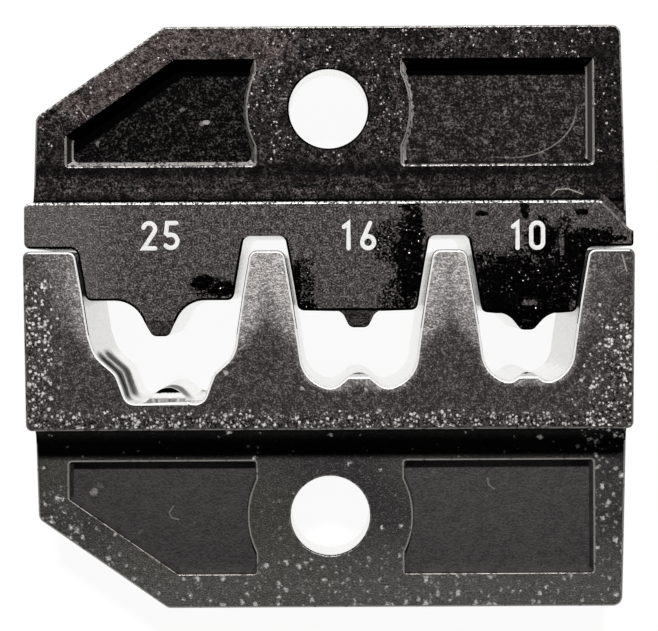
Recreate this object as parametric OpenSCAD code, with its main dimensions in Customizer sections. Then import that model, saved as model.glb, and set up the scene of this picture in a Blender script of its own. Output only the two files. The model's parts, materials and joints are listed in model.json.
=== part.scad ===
// Ferrule crimp die insert: two loose halves of hardened steel that close on each other.
// The upper half carries three punches, and the lower half three nests between its teeth.
// The pair lies on its back: X runs along the bars, Y is the closing direction and Z the thickness.
// The origin is under the middle of the pair.

/* [Bars] */
// Thickness of both bars, front to back
bar_t = 12; // [9:0.5:16]
// Width of the lower bar at the tops of its teeth
bar_w = 33.66; // [33:0.02:35]
// How much narrower the upper bar is than the lower one
upper_bar_less = 0.16; // [0:0.02:0.4]
// Taper of each end of the lower bar, in degrees
lower_bar_taper = 0.8; // [0:0.2:2]
// Height of the upper bar, from its lugs to its seat
upper_bar_h = 2.53; // [2:0.1:4]
// Height of the lower bar, from the tops of its teeth to its seat
lower_bar_h = 9.87; // [9.2:0.1:12]
// Corner radius at the ends of both bars
bar_corner_r = 0.35; // [0.2:0.05:0.6]
// Opening between the lugs and the teeth as the pair lies
rest_gap = 0.15; // [0.05:0.05:2]

/* [Clipped corner of the upper bar] */
// Length of the clipped corner, along the seat
clip = 1.8; // [1:0.1:1.9]
// Width of the lip left standing at the foot of the clipped corner
clip_lip = 0.22; // [0.1:0.02:0.4]

/* [Flanges] */
// Thickness of both flanges
flange_t = 4; // [3:0.25:6]
// Taper of each side of the flanges, in degrees
flange_taper = 1.4; // [0:0.2:2]
// How far the right-hand side of each flange stands out beyond its bar
flange_right_more = 0.12; // [0:0.02:0.3]
// Length of the upper flange beyond its bar
upper_flange_l = 10.11; // [9.6:0.1:14]
// Length of the lower flange beyond its bar
lower_flange_l = 10.36; // [9.6:0.1:14]
// Length of the keyed corner, along the free edge
key_x = 7.2; // [4:0.1:8]
// Length of the keyed corner, along the side
key_y = 5.1; // [3:0.1:5.6]
// Corner radius of the flanges
flange_corner_r = 0.55; // [0.2:0.05:0.8]
// Radius of the fillet between each flange and its bar
web_fillet_r = 1; // [0.5:0.1:1.4]

/* [Screw holes] */
// Diameter of the clearance hole for an M4 screw
hole_d = 4.5; // [3.5:0.1:5]
// Distance of the upper hole from the upper bar's seat
upper_hole_y = 5.41; // [4.6:0.1:5.6]
// Distance of the lower hole from the lower bar's seat
lower_hole_y = 5.14; // [4.6:0.1:5.6]
// Radius of the plain round boss that each hole goes through
boss_r = 4.7; // [3.5:0.1:5.5]

/* [Pockets in both faces of the flanges] */
// Width of the rim between the pockets and the free edge and keyed corner
pocket_rim = 1.95; // [1.5:0.05:2.5]
// Width of the rim between the pockets and the flange's sides
side_rim = 1.75; // [1.5:0.05:2.5]
// Distance of the upper pockets from the upper bar's seat
upper_pocket_y = 2.23; // [1.7:0.1:2.8]
// Distance of the lower pockets from the lower bar's seat
lower_pocket_y = 2.04; // [1.7:0.1:2.8]
// Distance of the pockets' inner ends from the middle of the flange
pocket_x = 4.2; // [3.4:0.1:4.8]
// Depth of the pockets
pocket_depth = 1.2; // [0.4:0.1:1.4]
// Run of the upper pockets' sloping walls
upper_pocket_run = 0.25; // [0.05:0.05:0.8]
// Run of the lower pockets' sloping walls
lower_pocket_run = 0.1; // [0.05:0.05:0.8]
// Corner radius at the floors of the pockets
pocket_corner_r = 0.3; // [0.2:0.05:0.6]

/* [Guide flanks] */
// Angle of the guide flanks at the tops of the teeth
flank_angle = 10.5; // [9:0.25:12]
// Radius of the slight bow of the guide flanks
flank_bow_r = 110; // [60:5:200]
// Corner radius at the tops of the teeth, and where the lugs meet the outer tongues
tooth_tip_r = 0.45; // [0.2:0.05:0.6]
// Depth of the notches that clear the two middle teeth, above the lugs
notch_depth = 0.65; // [0.4:0.05:1]
// Corner radius in the roofs of the notches
notch_roof_r = 0.4; // [0.2:0.05:0.5]
// Side gap at the two end teeth, with the pair closed
end_gap = 0.1; // [0.06:0.01:0.3]
// Side gap on the left of the left middle tooth, with the pair closed
left_tooth_gap_l = 0.43; // [0.1:0.01:0.6]
// Side gap on the right of the left middle tooth, with the pair closed
left_tooth_gap_r = 0.18; // [0.1:0.01:0.6]
// Side gap on the left of the right middle tooth, with the pair closed
right_tooth_gap_l = 0.31; // [0.1:0.01:0.6]
// Side gap on the right of the right middle tooth, with the pair closed
right_tooth_gap_r = 0.24; // [0.1:0.01:0.6]

/* [Nest for ferrules of 25 square millimetres] */
// Place of the nest's axis along the bar
nest25_x = -9.15; // [-9.4:0.05:-9]
// Width of the nest at the tops of the teeth
nest25_w = 9.62; // [9.2:0.05:9.8]
// Depth of the nest's floor below the tops of the teeth
nest25_depth = 8.34; // [8:0.02:8.6]
// Offset of the ledges and the cup from the nest's axis
cup25_shift = 0.12; // [0:0.01:0.2]
// Depth where the guide flanks turn into the ledges
ledge25_depth = 5.75; // [5.4:0.05:5.95]
// Width of the nest at that depth
ledge25_w = 7.6; // [7.4:0.05:7.8]
// Radius of the turn into the ledges
ledge25_r = 1.8; // [1:0.1:1.9]
// Depth where the ledges drop into the cup
cup25_depth = 6.75; // [6.5:0.05:6.9]
// Width of the cup below the ledges
cup25_w = 5.3; // [5.2:0.05:5.8]
// Radius of the turn into the cup
cup25_r = 1; // [0.5:0.1:1.2]
// Width of the cup's floor
floor25_w = 4.15; // [4:0.05:4.5]
// Corner radius at the cup's floor
floor25_r = 0.6; // [0.3:0.05:0.7]
// Width of the ridge on the floor, at its foot
ridge25_w = 2.5; // [2:0.05:2.6]
// Offset of the ridge from the nest's axis
ridge25_shift = 0.25; // [0:0.01:0.3]
// Slope of the ridge's sides, in degrees
ridge25_angle = 43; // [35:1:46]
// Radius of the ridge's crown
ridge25_crown_r = 0.97; // [0.6:0.01:1.2]
// Radius in the feet of the ridge
foot25_r = 0.4; // [0.2:0.05:0.5]

/* [Nest for ferrules of 16 square millimetres] */
// Place of the nest's axis along the bar
nest16_x = 1.63; // [1.4:0.01:1.8]
// Width of the nest at the tops of the teeth
nest16_w = 8.2; // [7.9:0.05:8.4]
// Depth of the nest at the feet of its ridge
nest16_depth = 7.6; // [7.2:0.02:7.9]
// Radius of the two lobes of the nest's floor
lobe16_r = 1.8; // [1.2:0.05:1.85]
// Slope of the lobes towards the ridge, in degrees
lobe16_angle = 15; // [5:1:20]
// Width of the ridge between the lobes, at its foot
ridge16_w = 2.8; // [2.6:0.05:2.9]
// Slope of the ridge's sides, in degrees
ridge16_angle = 40; // [34:1:42]
// Radius of the ridge's crown
ridge16_crown_r = 1.05; // [0.6:0.05:1.2]
// Radius in the feet of the ridge
foot16_r = 0.8; // [0.4:0.05:0.85]

/* [Nest for ferrules of 10 square millimetres] */
// Place of the nest's axis along the bar
nest10_x = 10.92; // [10.8:0.01:11]
// Width of the nest at the tops of the teeth
nest10_w = 6.75; // [6.5:0.05:6.85]
// Depth of the nest at the feet of its ridge
nest10_depth = 7.3; // [7:0.02:7.6]
// Radius of the two lobes of the nest's floor
lobe10_r = 1.7; // [1:0.05:1.75]
// Slope of the lobes towards the ridge, in degrees
lobe10_angle = 20; // [14:1:24]
// Width of the ridge between the lobes, at its foot
ridge10_w = 1.98; // [1.7:0.02:2.1]
// Slope of the ridge's sides, in degrees
ridge10_angle = 36; // [28:1:40]
// Radius of the ridge's crown
ridge10_crown_r = 0.8; // [0.2:0.05:0.85]
// Radius in the feet of the ridge
foot10_r = 0.6; // [0.3:0.05:0.65]

/* [Tongues and punches] */
// Reach of the tongue over the 25 nest, below the lugs
tongue25_reach = 2.87; // [2.5:0.05:3.2]
// Height of the 25 punch below its tongue
punch25_h = 1.98; // [1.5:0.02:2.1]
// Offset of the 25 punch from the nest's axis
punch25_shift = -0.15; // [-0.2:0.01:0]
// Width of the 25 punch at its root
punch25_root_w = 2.9; // [2.7:0.05:3.2]
// Width of the 25 punch at its tip
punch25_tip_w = 0.88; // [0.8:0.02:1.2]
// Radius that blends the 25 punch into its tongue
punch25_root_r = 1.7; // [0.8:0.05:1.8]
// Reach of the tongue over the 16 nest, below the lugs
tongue16_reach = 3.46; // [3:0.05:3.8]
// Height of the 16 punch below its tongue
punch16_h = 0.95; // [0.8:0.02:1.2]
// Width of the 16 punch at its root
punch16_root_w = 1.9; // [1.7:0.05:2.2]
// Width of the 16 punch at its tip
punch16_tip_w = 1; // [0.8:0.02:1.2]
// Radius that blends the 16 punch into its tongue
punch16_root_r = 0.6; // [0.4:0.05:0.8]
// Reach of the tongue over the 10 nest, below the lugs
tongue10_reach = 3.62; // [3:0.02:3.8]
// Height of the 10 punch below its tongue
punch10_h = 0.97; // [0.8:0.02:1.2]
// Width of the 10 punch at its root
punch10_root_w = 2.3; // [2.1:0.05:2.6]
// Width of the 10 punch at its tip
punch10_tip_w = 0.68; // [0.6:0.02:0.8]
// Radius that blends the 10 punch into its tongue
punch10_root_r = 1.3; // [0.6:0.05:1.4]
// Radius of the tongues' outer corners
tongue_corner_r = 0.4; // [0.2:0.05:0.5]
// Corner radius at the tips of the punches
punch_tip_r = 0.38; // [0.15:0.01:0.42]

/* [Bell mouths at both ends of the nests] */
// Depth of the sloping end faces of the punches, front to back
punch_bell = 0.6; // [0.3:0.05:1]
// Height of the sloping end faces of the 25 punch, up from its tip
punch25_bell_h = 0.75; // [0.5:0.05:1.2]
// Depth of the sloping end faces of the ridges, front to back
ridge_bell = 0.6; // [0.3:0.05:1]
// Height that the sloping end faces take off the crowns of the 16 and 10 ridges
ridge_bell_h = 0.2; // [0.06:0.02:0.45]

/* [Hidden] */
upper_grey = [0.26, 0.25, 0.245];
lower_grey = [0.36, 0.35, 0.34];
// Straight pieces that make up one rounded corner, and one guide flank
CORNER_N = 8;
FLANK_N = 5;
// Pieces in a full turn of a cylinder, and of a pocket's rounded outline
ROUND_FN = 96;
OFFSET_FN = 32;
// How far a cutting shape goes past the face that it cuts
PROUD = 1;
// How many times its own length a sloping cut goes on past its end
OVERRUN = 2;
// How far the fillet's solid reaches into the bar and the flange that it joins
ROOT = 0.15;
// How far the fillet's crest lies inside the bar's face, so that the two meet at an angle
CREST = 0.005;
// Thickness of the outlines that a pocket is drawn between
SLAB = 0.01;

upper_l = upper_bar_h + upper_flange_l;
lower_l = lower_bar_h + lower_flange_l;
// Height of the tooth tops that puts the origin under the middle of the pair
tooth_y = (lower_l - rest_gap - upper_l) / 2;
lug_y = tooth_y + rest_gap;
upper_seat_y = lug_y + upper_bar_h;
lower_seat_y = tooth_y - lower_bar_h;
upper_half_w = (bar_w - upper_bar_less) / 2;
lower_half_w = bar_w / 2;
lower_seat_half_w = lower_half_w - lower_bar_h * tan(lower_bar_taper);
flange_z = bar_t / 2;

// Outlines are lists of corners [x, y, radius], and rounded() turns them into points.

function unit(v) = v / norm(v);
function xy(p) = [p[0], p[1]];
function moved(path, y, up) = [for (p = path) [p[0], y + up * p[1], p[2]]];
function across(path) = [for (i = [len(path) - 1:-1:0]) [-path[i][0], path[i][1], path[i][2]]];

function arc(a, b, c, r) =
    let (u = unit(a - b), v = unit(c - b), half = acos(u * v) / 2)
    let (middle = b + unit(u + v) * r / sin(half), start = b + u * r / tan(half) - middle)
    let (from = atan2(start[1], start[0]))
    let (turn = cross(u, v) > 0 ? 2 * half - 180 : 180 - 2 * half)
    [for (i = [0:CORNER_N]) let (t = from + turn * i / CORNER_N) middle + r * [cos(t), sin(t)]];

function rounded(path) = [
    for (i = [0:len(path) - 1])
        let (n = len(path), a = xy(path[(i + n - 1) % n]), b = xy(path[i]), c = xy(path[(i + 1) % n]))
        each path[i][2] > 0 ? arc(a, b, c, path[i][2]) : [b]
];

// Guide flanks: half of a nest's width at a depth below the tops of the teeth
function half_nest(w, depth) = w / 2 - depth * tan(flank_angle) + depth * depth / (2 * flank_bow_r);

// Nests: the right-hand half from the tooth top to the axis, with the tooth tops at 0

function half_flank(w, depth) = concat(
    [[w / 2, 0, tooth_tip_r]],
    [for (i = [1:FLANK_N - 1]) let (d = depth * i / FLANK_N) [half_nest(w, d), -d, 0]]
);

function crown_y(w, angle) = w / 2 * tan(angle);
function ridge_h(w, angle, r) = crown_y(w, angle) - r * (1 / cos(angle) - 1);

function half_ridge(x, depth, w, angle, crown_r, foot_r) = [
    [x + w / 2, -depth, foot_r],
    [x, crown_y(w, angle) - depth, crown_r]
];

// The side is 1 for the right-hand half and -1 for the left-hand one
function half_nest25(side) =
    let (x = side * cup25_shift)
    concat(
        half_flank(nest25_w, ledge25_depth),
        [
            [x + ledge25_w / 2, -ledge25_depth, ledge25_r],
            [x + cup25_w / 2, -cup25_depth, cup25_r],
            [x + floor25_w / 2, -nest25_depth, floor25_r]
        ],
        half_ridge(side * ridge25_shift, nest25_depth, ridge25_w, ridge25_angle,
            ridge25_crown_r, foot25_r)
    );

function half_lobed(w, depth, lobe_r, lobe_angle, ridge_w, ridge_angle, crown_r, foot_r) =
    let (rise = (half_nest(w, depth) - ridge_w / 2) * tan(lobe_angle), knee = depth - rise)
    concat(
        half_flank(w, knee),
        [[half_nest(w, knee), -knee, lobe_r]],
        half_ridge(0, depth, ridge_w, ridge_angle, crown_r, foot_r)
    );

function half_nest16() = half_lobed(nest16_w, nest16_depth, lobe16_r, lobe16_angle,
    ridge16_w, ridge16_angle, ridge16_crown_r, foot16_r);
function half_nest10() = half_lobed(nest10_w, nest10_depth, lobe10_r, lobe10_angle,
    ridge10_w, ridge10_angle, ridge10_crown_r, foot10_r);

// The left half runs down to the crown, and the right half back up without repeating it
function whole_nest(left, right, x) =
    let (down = across([for (i = [len(left) - 1:-1:0]) left[i]]))
    let (up = [for (i = [len(right) - 2:-1:0]) right[i]])
    [for (p = concat(down, up)) [p[0] + x, p[1], p[2]]];

// Tongues: one side from its top corner down to the punch's tip, with the lugs at 0

function half_tongue(w, gap, top, top_r, reach, x, root_w, root_r, tip_w, h) = concat(
    [[half_nest(w, -top) - gap, top, top_r]],
    [for (i = [1:FLANK_N - 1]) let (d = reach * i / FLANK_N) [half_nest(w, d) - gap, -d, 0]],
    [
        [half_nest(w, reach) - gap, -reach, tongue_corner_r],
        [x + root_w / 2, -reach, root_r],
        [x + tip_w / 2, -reach - h, punch_tip_r]
    ]
);

function half25(side, gap, top, top_r) = half_tongue(nest25_w, gap, top, top_r, tongue25_reach,
    side * punch25_shift, punch25_root_w, punch25_root_r, punch25_tip_w, punch25_h);
function half16(gap, top, top_r) = half_tongue(nest16_w, gap, top, top_r, tongue16_reach,
    0, punch16_root_w, punch16_root_r, punch16_tip_w, punch16_h);
function half10(gap, top, top_r) = half_tongue(nest10_w, gap, top, top_r, tongue10_reach,
    0, punch10_root_w, punch10_root_r, punch10_tip_w, punch10_h);

function whole_tongue(left, right, x) =
    let (down = [for (p = left) [-p[0], p[1], p[2]]])
    let (up = [for (i = [len(right) - 1:-1:0]) right[i]])
    [for (p = concat(down, up)) [p[0] + x, p[1], p[2]]];

// Bars

function upper_bar_path() = concat(
    [[-upper_half_w, 0, bar_corner_r]],
    whole_tongue(half25(-1, end_gap, 0, tooth_tip_r),
        half25(1, left_tooth_gap_l, notch_depth, notch_roof_r), nest25_x),
    whole_tongue(half16(left_tooth_gap_r, notch_depth, notch_roof_r),
        half16(right_tooth_gap_l, notch_depth, notch_roof_r), nest16_x),
    whole_tongue(half10(right_tooth_gap_r, notch_depth, notch_roof_r),
        half10(end_gap, 0, tooth_tip_r), nest10_x),
    [
        [upper_half_w, 0, bar_corner_r / 2],
        [upper_half_w, upper_bar_h - clip + clip_lip / 2, 0],
        [upper_half_w - clip_lip, upper_bar_h - clip + clip_lip, 0],
        [upper_half_w - clip, upper_bar_h, bar_corner_r],
        [-upper_half_w, upper_bar_h, bar_corner_r]
    ]
);

function lower_bar_path() = concat(
    [[-lower_seat_half_w, -lower_bar_h, bar_corner_r], [-lower_half_w, 0, bar_corner_r]],
    whole_nest(half_nest25(-1), half_nest25(1), nest25_x),
    whole_nest(half_nest16(), half_nest16(), nest16_x),
    whole_nest(half_nest10(), half_nest10(), nest10_x),
    [[lower_half_w, 0, bar_corner_r], [lower_seat_half_w, -lower_bar_h, bar_corner_r]]
);

// Flanges: seat at 0, free edge at l. The slab goes on behind the bar's seat by the depth of back.

function flange_half_w(seat_w, y) = seat_w - y * tan(flange_taper);

function flange_path(seat_w, l, back) = [
    [seat_w + flange_right_more, -back, 0],
    [seat_w + flange_right_more, 0, 0],
    [flange_half_w(seat_w + flange_right_more, l), l, flange_corner_r],
    [key_x - flange_half_w(seat_w, l), l, flange_corner_r],
    [-flange_half_w(seat_w, l - key_y), l - key_y, flange_corner_r],
    [-seat_w, 0, 0],
    [-seat_w, -back, 0]
];

function right_pocket_path(seat_w, l, low) =
    let (side = flange_half_w(seat_w + flange_right_more, l / 2) - side_rim, high = l - pocket_rim)
    [[pocket_x, low, 0], [side, low, 0], [side, high, 0], [pocket_x, high, 0]];

function left_pocket_path(seat_w, l, low) =
    let (side = side_rim - flange_half_w(seat_w, l / 2), high = l - pocket_rim)
    let (corner = [-flange_half_w(seat_w, l - key_y), l - key_y])
    let (edge = [key_x - flange_half_w(seat_w, l), l] - corner)
    let (rim_x = corner[0] + pocket_rim * norm(edge) / edge[1])
    [
        [side, low, 0],
        [-pocket_x, low, 0],
        [-pocket_x, high, 0],
        [rim_x + (high - corner[1]) * edge[0] / edge[1], high, 0],
        [side, corner[1] + (side - rim_x) * edge[1] / edge[0], 0]
    ];

// A pocket with sloping walls, cut down from height 0, that leaves the round boss standing
module pocket(path, run, hole_y) {
    difference() {
        hull() {
            translate([0, 0, -pocket_depth]) linear_extrude(SLAB)
                offset(r = pocket_corner_r, $fn = OFFSET_FN) offset(delta = -pocket_corner_r - run)
                    polygon(rounded(path));
            translate([0, 0, PROUD]) linear_extrude(SLAB)
                offset(delta = run * PROUD / pocket_depth) polygon(rounded(path));
        }
        translate([0, hole_y, -pocket_depth - SLAB])
            cylinder(h = pocket_depth + SLAB, r1 = boss_r + run, r2 = boss_r, $fn = ROUND_FN);
        translate([0, hole_y, -SLAB]) cylinder(h = 2 * PROUD, r = boss_r, $fn = ROUND_FN);
    }
}

// Fillet between a bar and the face of its flange. It follows the bar's outline with the bar on its
// right-hand side, and each step of its section runs along a mitred copy of the path.
function left_of(a, b) = let (d = unit(b - a)) [-d[1], d[0]];
function mitre(path, i) =
    let (last = len(path) - 2, before = min(max(i - 1, 0), last), after = min(i, last))
    let (u = left_of(path[before], path[before + 1]), v = left_of(path[after], path[after + 1]))
    (u + v) / (1 + u * v);

module fillet(path) {
    curve = [for (i = [0:CORNER_N]) let (t = 90 * i / CORNER_N) web_fillet_r * [1 - sin(t), 1 - cos(t)]];
    section = concat([[-ROOT, web_fillet_r], [-ROOT, -ROOT], [web_fillet_r, -ROOT]], curve);
    n = len(section);
    end = (len(path) - 1) * n;
    polyhedron(
        [for (i = [0:len(path) - 1]) for (p = section)
            let (out = (p[0] - CREST) * mitre(path, i)) [each path[i] + out, p[1]]],
        concat(
            [[for (j = [0:n - 1]) j]],
            [for (i = [0:n:end - n]) for (j = [0:n - 1])
                let (k = (j + 1) % n) [i + j, i + n + j, i + n + k, i + k]],
            [[for (j = [n - 1:-1:0]) end + j]]
        )
    );
}

// Both faces of a flange get the same pockets and fillets
module on_both_faces() {
    translate([0, 0, flange_z + flange_t / 2]) children();
    translate([0, 0, flange_z - flange_t / 2]) mirror([0, 0, 1]) children();
}

// A sloping cut across the bar at x, from height y on the end face to height y + rise at a depth of run
module bell_mouth(x, w, y, rise, run) {
    high = y + OVERRUN * rise;
    for (flip = [0, 1])
        translate([0, 0, flip * bar_t]) mirror([0, 0, flip])
            translate([x - w / 2, 0, 0]) rotate([90, 0, 90]) linear_extrude(w)
                polygon([[y, -PROUD], [y, 0], [high, OVERRUN * run], [high, -PROUD]]);
}

module flange(seat_w, l, back, low, run, hole_y) {
    difference() {
        translate([0, 0, flange_z - flange_t / 2])
            linear_extrude(flange_t) polygon(rounded(flange_path(seat_w, l, back)));
        on_both_faces() {
            pocket(left_pocket_path(seat_w, l, low), run, hole_y);
            pocket(right_pocket_path(seat_w, l, low), run, hole_y);
        }
        translate([0, hole_y, -PROUD]) cylinder(h = bar_t + 2 * PROUD, d = hole_d, $fn = ROUND_FN);
    }
}

module upper_web_fillet() {
    start = 2 * bar_corner_r;
    path = rounded([
        [-upper_half_w, -start, 0],
        [-upper_half_w, 0, bar_corner_r],
        [upper_half_w - clip, 0, bar_corner_r],
        [upper_half_w + clip, -2 * clip, 0]
    ]);
    outline = flange_path(upper_half_w, upper_flange_l, clip);
    intersection() {
        on_both_faces() fillet(path);
        linear_extrude(bar_t) polygon(rounded(outline));
    }
}

module lower_web_fillet() {
    start = 2 * bar_corner_r;
    side = lower_seat_half_w + start * tan(lower_bar_taper);
    path = rounded([
        [-side, -start, 0],
        [-lower_seat_half_w, 0, bar_corner_r],
        [lower_seat_half_w, 0, bar_corner_r],
        [side, -start, 0]
    ]);
    outline = flange_path(lower_seat_half_w, lower_flange_l, bar_corner_r);
    intersection() {
        on_both_faces() fillet(path);
        linear_extrude(bar_t) polygon(rounded(outline));
    }
}

module upper_die() {
    color(upper_grey) {
        difference() {
            linear_extrude(bar_t) polygon(rounded(moved(upper_bar_path(), lug_y, 1)));
            translate([0, lug_y, 0]) {
                bell_mouth(nest25_x, nest25_w, punch25_bell_h - tongue25_reach - punch25_h,
                    -punch25_bell_h, punch_bell);
                bell_mouth(nest16_x, nest16_w, -tongue16_reach, -punch16_h, punch_bell);
                bell_mouth(nest10_x, nest10_w, -tongue10_reach, -punch10_h, punch_bell);
            }
        }
        translate([0, upper_seat_y, 0]) {
            flange(upper_half_w, upper_flange_l, clip,
                upper_pocket_y, upper_pocket_run, upper_hole_y);
            upper_web_fillet();
        }
    }
}

module ridge_bell_mouth(x, depth, w, angle, crown_r, h) {
    crown = ridge_h(w, angle, crown_r) - depth;
    bell_mouth(x, w, crown - h, h, ridge_bell);
}

module lower_die() {
    color(lower_grey) {
        difference() {
            linear_extrude(bar_t) polygon(rounded(moved(lower_bar_path(), tooth_y, 1)));
            translate([0, tooth_y, 0]) {
                ridge_bell_mouth(nest25_x, nest25_depth, ridge25_w, ridge25_angle, ridge25_crown_r,
                    ridge_h(ridge25_w, ridge25_angle, ridge25_crown_r));
                ridge_bell_mouth(nest16_x, nest16_depth, ridge16_w, ridge16_angle, ridge16_crown_r,
                    ridge_bell_h);
                ridge_bell_mouth(nest10_x, nest10_depth, ridge10_w, ridge10_angle, ridge10_crown_r,
                    ridge_bell_h);
            }
        }
        translate([0, lower_seat_y, 0]) mirror([0, 1, 0]) {
            flange(lower_seat_half_w, lower_flange_l, bar_corner_r,
                lower_pocket_y, lower_pocket_run, lower_hole_y);
            lower_web_fillet();
        }
    }
}

upper_die();
lower_die();
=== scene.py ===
"""Dresses the two halves of a ferrule crimp die insert and lays them on a white table under studio light.

The halves are blackened sintered steel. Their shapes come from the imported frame. Each one is copied, its
outlines get the small rounds that tumbling leaves, and its faces get the finish of the place they are on.
"""

import json
import math

import bmesh
import bpy
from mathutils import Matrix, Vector


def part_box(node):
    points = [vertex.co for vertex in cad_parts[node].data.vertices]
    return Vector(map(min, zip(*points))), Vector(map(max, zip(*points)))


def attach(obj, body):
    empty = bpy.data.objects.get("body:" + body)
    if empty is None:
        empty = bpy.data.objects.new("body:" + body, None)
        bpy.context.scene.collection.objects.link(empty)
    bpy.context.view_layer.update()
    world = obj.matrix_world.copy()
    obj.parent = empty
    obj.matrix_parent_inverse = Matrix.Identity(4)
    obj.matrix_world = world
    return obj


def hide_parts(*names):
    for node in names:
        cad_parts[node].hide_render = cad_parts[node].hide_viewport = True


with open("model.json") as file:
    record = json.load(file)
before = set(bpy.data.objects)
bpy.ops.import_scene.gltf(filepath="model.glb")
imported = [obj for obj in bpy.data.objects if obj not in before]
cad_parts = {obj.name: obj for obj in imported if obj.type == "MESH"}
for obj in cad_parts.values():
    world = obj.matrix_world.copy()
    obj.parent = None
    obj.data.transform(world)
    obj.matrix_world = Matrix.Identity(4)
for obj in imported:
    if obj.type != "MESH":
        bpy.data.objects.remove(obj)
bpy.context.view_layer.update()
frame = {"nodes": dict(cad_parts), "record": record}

bl_info = {
    "name": "Ferrule crimp die insert",
    "version": (1, 0, 0),
    "blender": (4, 5, 0),
    "location": "View3D > Sidebar > Crimp Die",
    "description": "Dresses the two die halves and sets the table, the light and the camera",
    "category": "Object",
}

MM = 0.001
UPPER, LOWER = "upper_die", "lower_die"
MOUNTS = {mount["name"]: mount for mount in frame["record"]["mounts"]}


def box_mm(name):
    """Lowest and highest corner of a die half, in millimetres."""
    low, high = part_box(name)
    return low / MM, high / MM


def mount_mm(name):
    """Middle of one of the frame's mounts, in millimetres."""
    return [place / MM for place in MOUNTS[name]["pos_m"]]


UPPER_TOP_Y = box_mm(UPPER)[1].y
LOWER_LOW, LOWER_HIGH = box_mm(LOWER)

# Heights over the table in mm: the middle of the thickness, the bars' faces and the flanges' faces. Then how
# deep the pockets are.
MID = mount_mm("upper_hole")[2]
BAR_LEVELS = (LOWER_LOW.z, LOWER_HIGH.z)
FLANGE_HALF_T = MOUNTS["upper_hole"]["dims"]["length_mm"] / 2
FLANGE_LEVELS = (MID - FLANGE_HALF_T, MID + FLANGE_HALF_T)
POCKET_DEPTH = 1.2

# Where each bar ends and its flange begins, the tips of the teeth, and how far the bars reach to each side
UPPER_SEAT_Y = mount_mm("upper_seat")[1]
LOWER_SEAT_Y = mount_mm("lower_seat")[1]
TOOTH_TOP_Y = LOWER_HIGH.y
BAR_HALF_W = LOWER_HIGH.x

# The screw holes: middle of each, and a little more than their radius
HOLES = [mount_mm(name)[:2] for name in ("upper_hole", "lower_hole")]
HOLE_REACH = MOUNTS["upper_hole"]["dims"]["r_mm"] + 0.15

# The nests, from the left: middle of each, and its half width between the tips of the teeth. Then how much
# nearer to the middle their flanks are for each mm down.
NESTS = ((-9.15, 4.81), (1.63, 4.10), (10.92, 3.375))
FLANK_SLOPE = math.tan(math.radians(10.5))

# Settings that many nodes share
SOFT = {"interpolation_type": "SMOOTHSTEP"}
TIMES = {"operation": "MULTIPLY"}
TIMES_PLUS = {"operation": "MULTIPLY_ADD"}
PLUS = {"operation": "ADD"}
MINUS = {"operation": "SUBTRACT"}
LARGER = {"operation": "MAXIMUM"}
SMALLER = {"operation": "MINIMUM"}
NOISE = {"noise_dimensions": "4D"}


def linear(code):
    """A colour written as sRGB hex, as linear red, green, blue and alpha."""
    parts = [int(code[i:i + 2], 16) / 255 for i in (1, 3, 5)]
    return (*[p / 12.92 if p <= 0.04045 else ((p + 0.055) / 1.055) ** 2.4 for p in parts], 1.0)


class CrimpDieFinish(bpy.types.PropertyGroup):
    """Colours and grain of the steel."""

    oxide: bpy.props.StringProperty(
        name="Oxide", description="Blackened skin of the upper bar, sRGB hex", default="#464241")
    oxide_flange: bpy.props.StringProperty(
        name="Flange oxide", description="Blackened skin of the upper flange, sRGB hex", default="#262323")
    oxide_smooth: bpy.props.StringProperty(
        name="Smooth oxide", description="Blackened skin of the lower flange, sRGB hex", default="#3b393a")
    soot: bpy.props.StringProperty(
        name="Oil stain", description="Burnt oil that dries glossy black, sRGB hex", default="#070606")
    edge_round: bpy.props.FloatProperty(
        name="Edge round", description="Round that tumbling leaves on the bars' outlines",
        default=0.13 * MM, min=0.02 * MM, max=0.2 * MM, unit="LENGTH")
    grain: bpy.props.FloatProperty(
        name="Grain", description="Width of the sintered grain that shows",
        default=0.10 * MM, min=0.03 * MM, max=0.5 * MM, unit="LENGTH")


class CrimpDieMarks(bpy.types.PropertyGroup):
    """Plain size numbers on the upper bar."""

    height: bpy.props.FloatProperty(
        name="Height", description="Height of a digit",
        default=1.62 * MM, min=0.5 * MM, max=3 * MM, unit="LENGTH")
    stroke: bpy.props.FloatProperty(
        name="Stroke", description="Width of a digit's line",
        default=0.24 * MM, min=0.05 * MM, max=0.5 * MM, unit="LENGTH")
    film: bpy.props.FloatProperty(
        name="Film", description="How far the ink stands on the steel",
        default=0.01 * MM, min=0.002 * MM, max=0.1 * MM, unit="LENGTH")
    ink: bpy.props.StringProperty(name="Ink", description="Colour of the ink, sRGB hex", default="#f4f3f1")


class CrimpDieStage(bpy.types.PropertyGroup):
    """Table, light and camera."""

    table: bpy.props.FloatProperty(
        name="Table", description="Side of the white table", default=6.0, unit="LENGTH")
    sun_tilt: bpy.props.FloatProperty(
        name="Light tilt", description="Angle of the lamp from straight above, towards the upper flange",
        default=math.radians(24.5), subtype="ANGLE")
    sun_strength: bpy.props.FloatProperty(name="Light", description="Strength of the lamp", default=2.0)
    sun_size: bpy.props.FloatProperty(
        name="Light size", description="Angle that the lamp covers", default=math.radians(4), subtype="ANGLE")
    camera_height: bpy.props.FloatProperty(
        name="Camera height", description="Height of the camera over the table",
        default=0.1286, unit="LENGTH")


def add(tree, kind, values=(), out=0, **options):
    """Adds one shader node: options are its own settings, values its sockets in order or by number or name.

    Gives back the output that out names or numbers, or the node where out is None or it has no outputs.
    """
    made = tree.nodes.new("ShaderNode" + kind)
    for name, value in options.items():
        setattr(made, name, value)
    for name, value in values.items() if isinstance(values, dict) else enumerate(values):
        if isinstance(value, bpy.types.NodeSocket):
            tree.links.new(value, made.inputs[name])
        else:
            made.inputs[name].default_value = value
    return made if out is None or not made.outputs else made.outputs[out]


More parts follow.
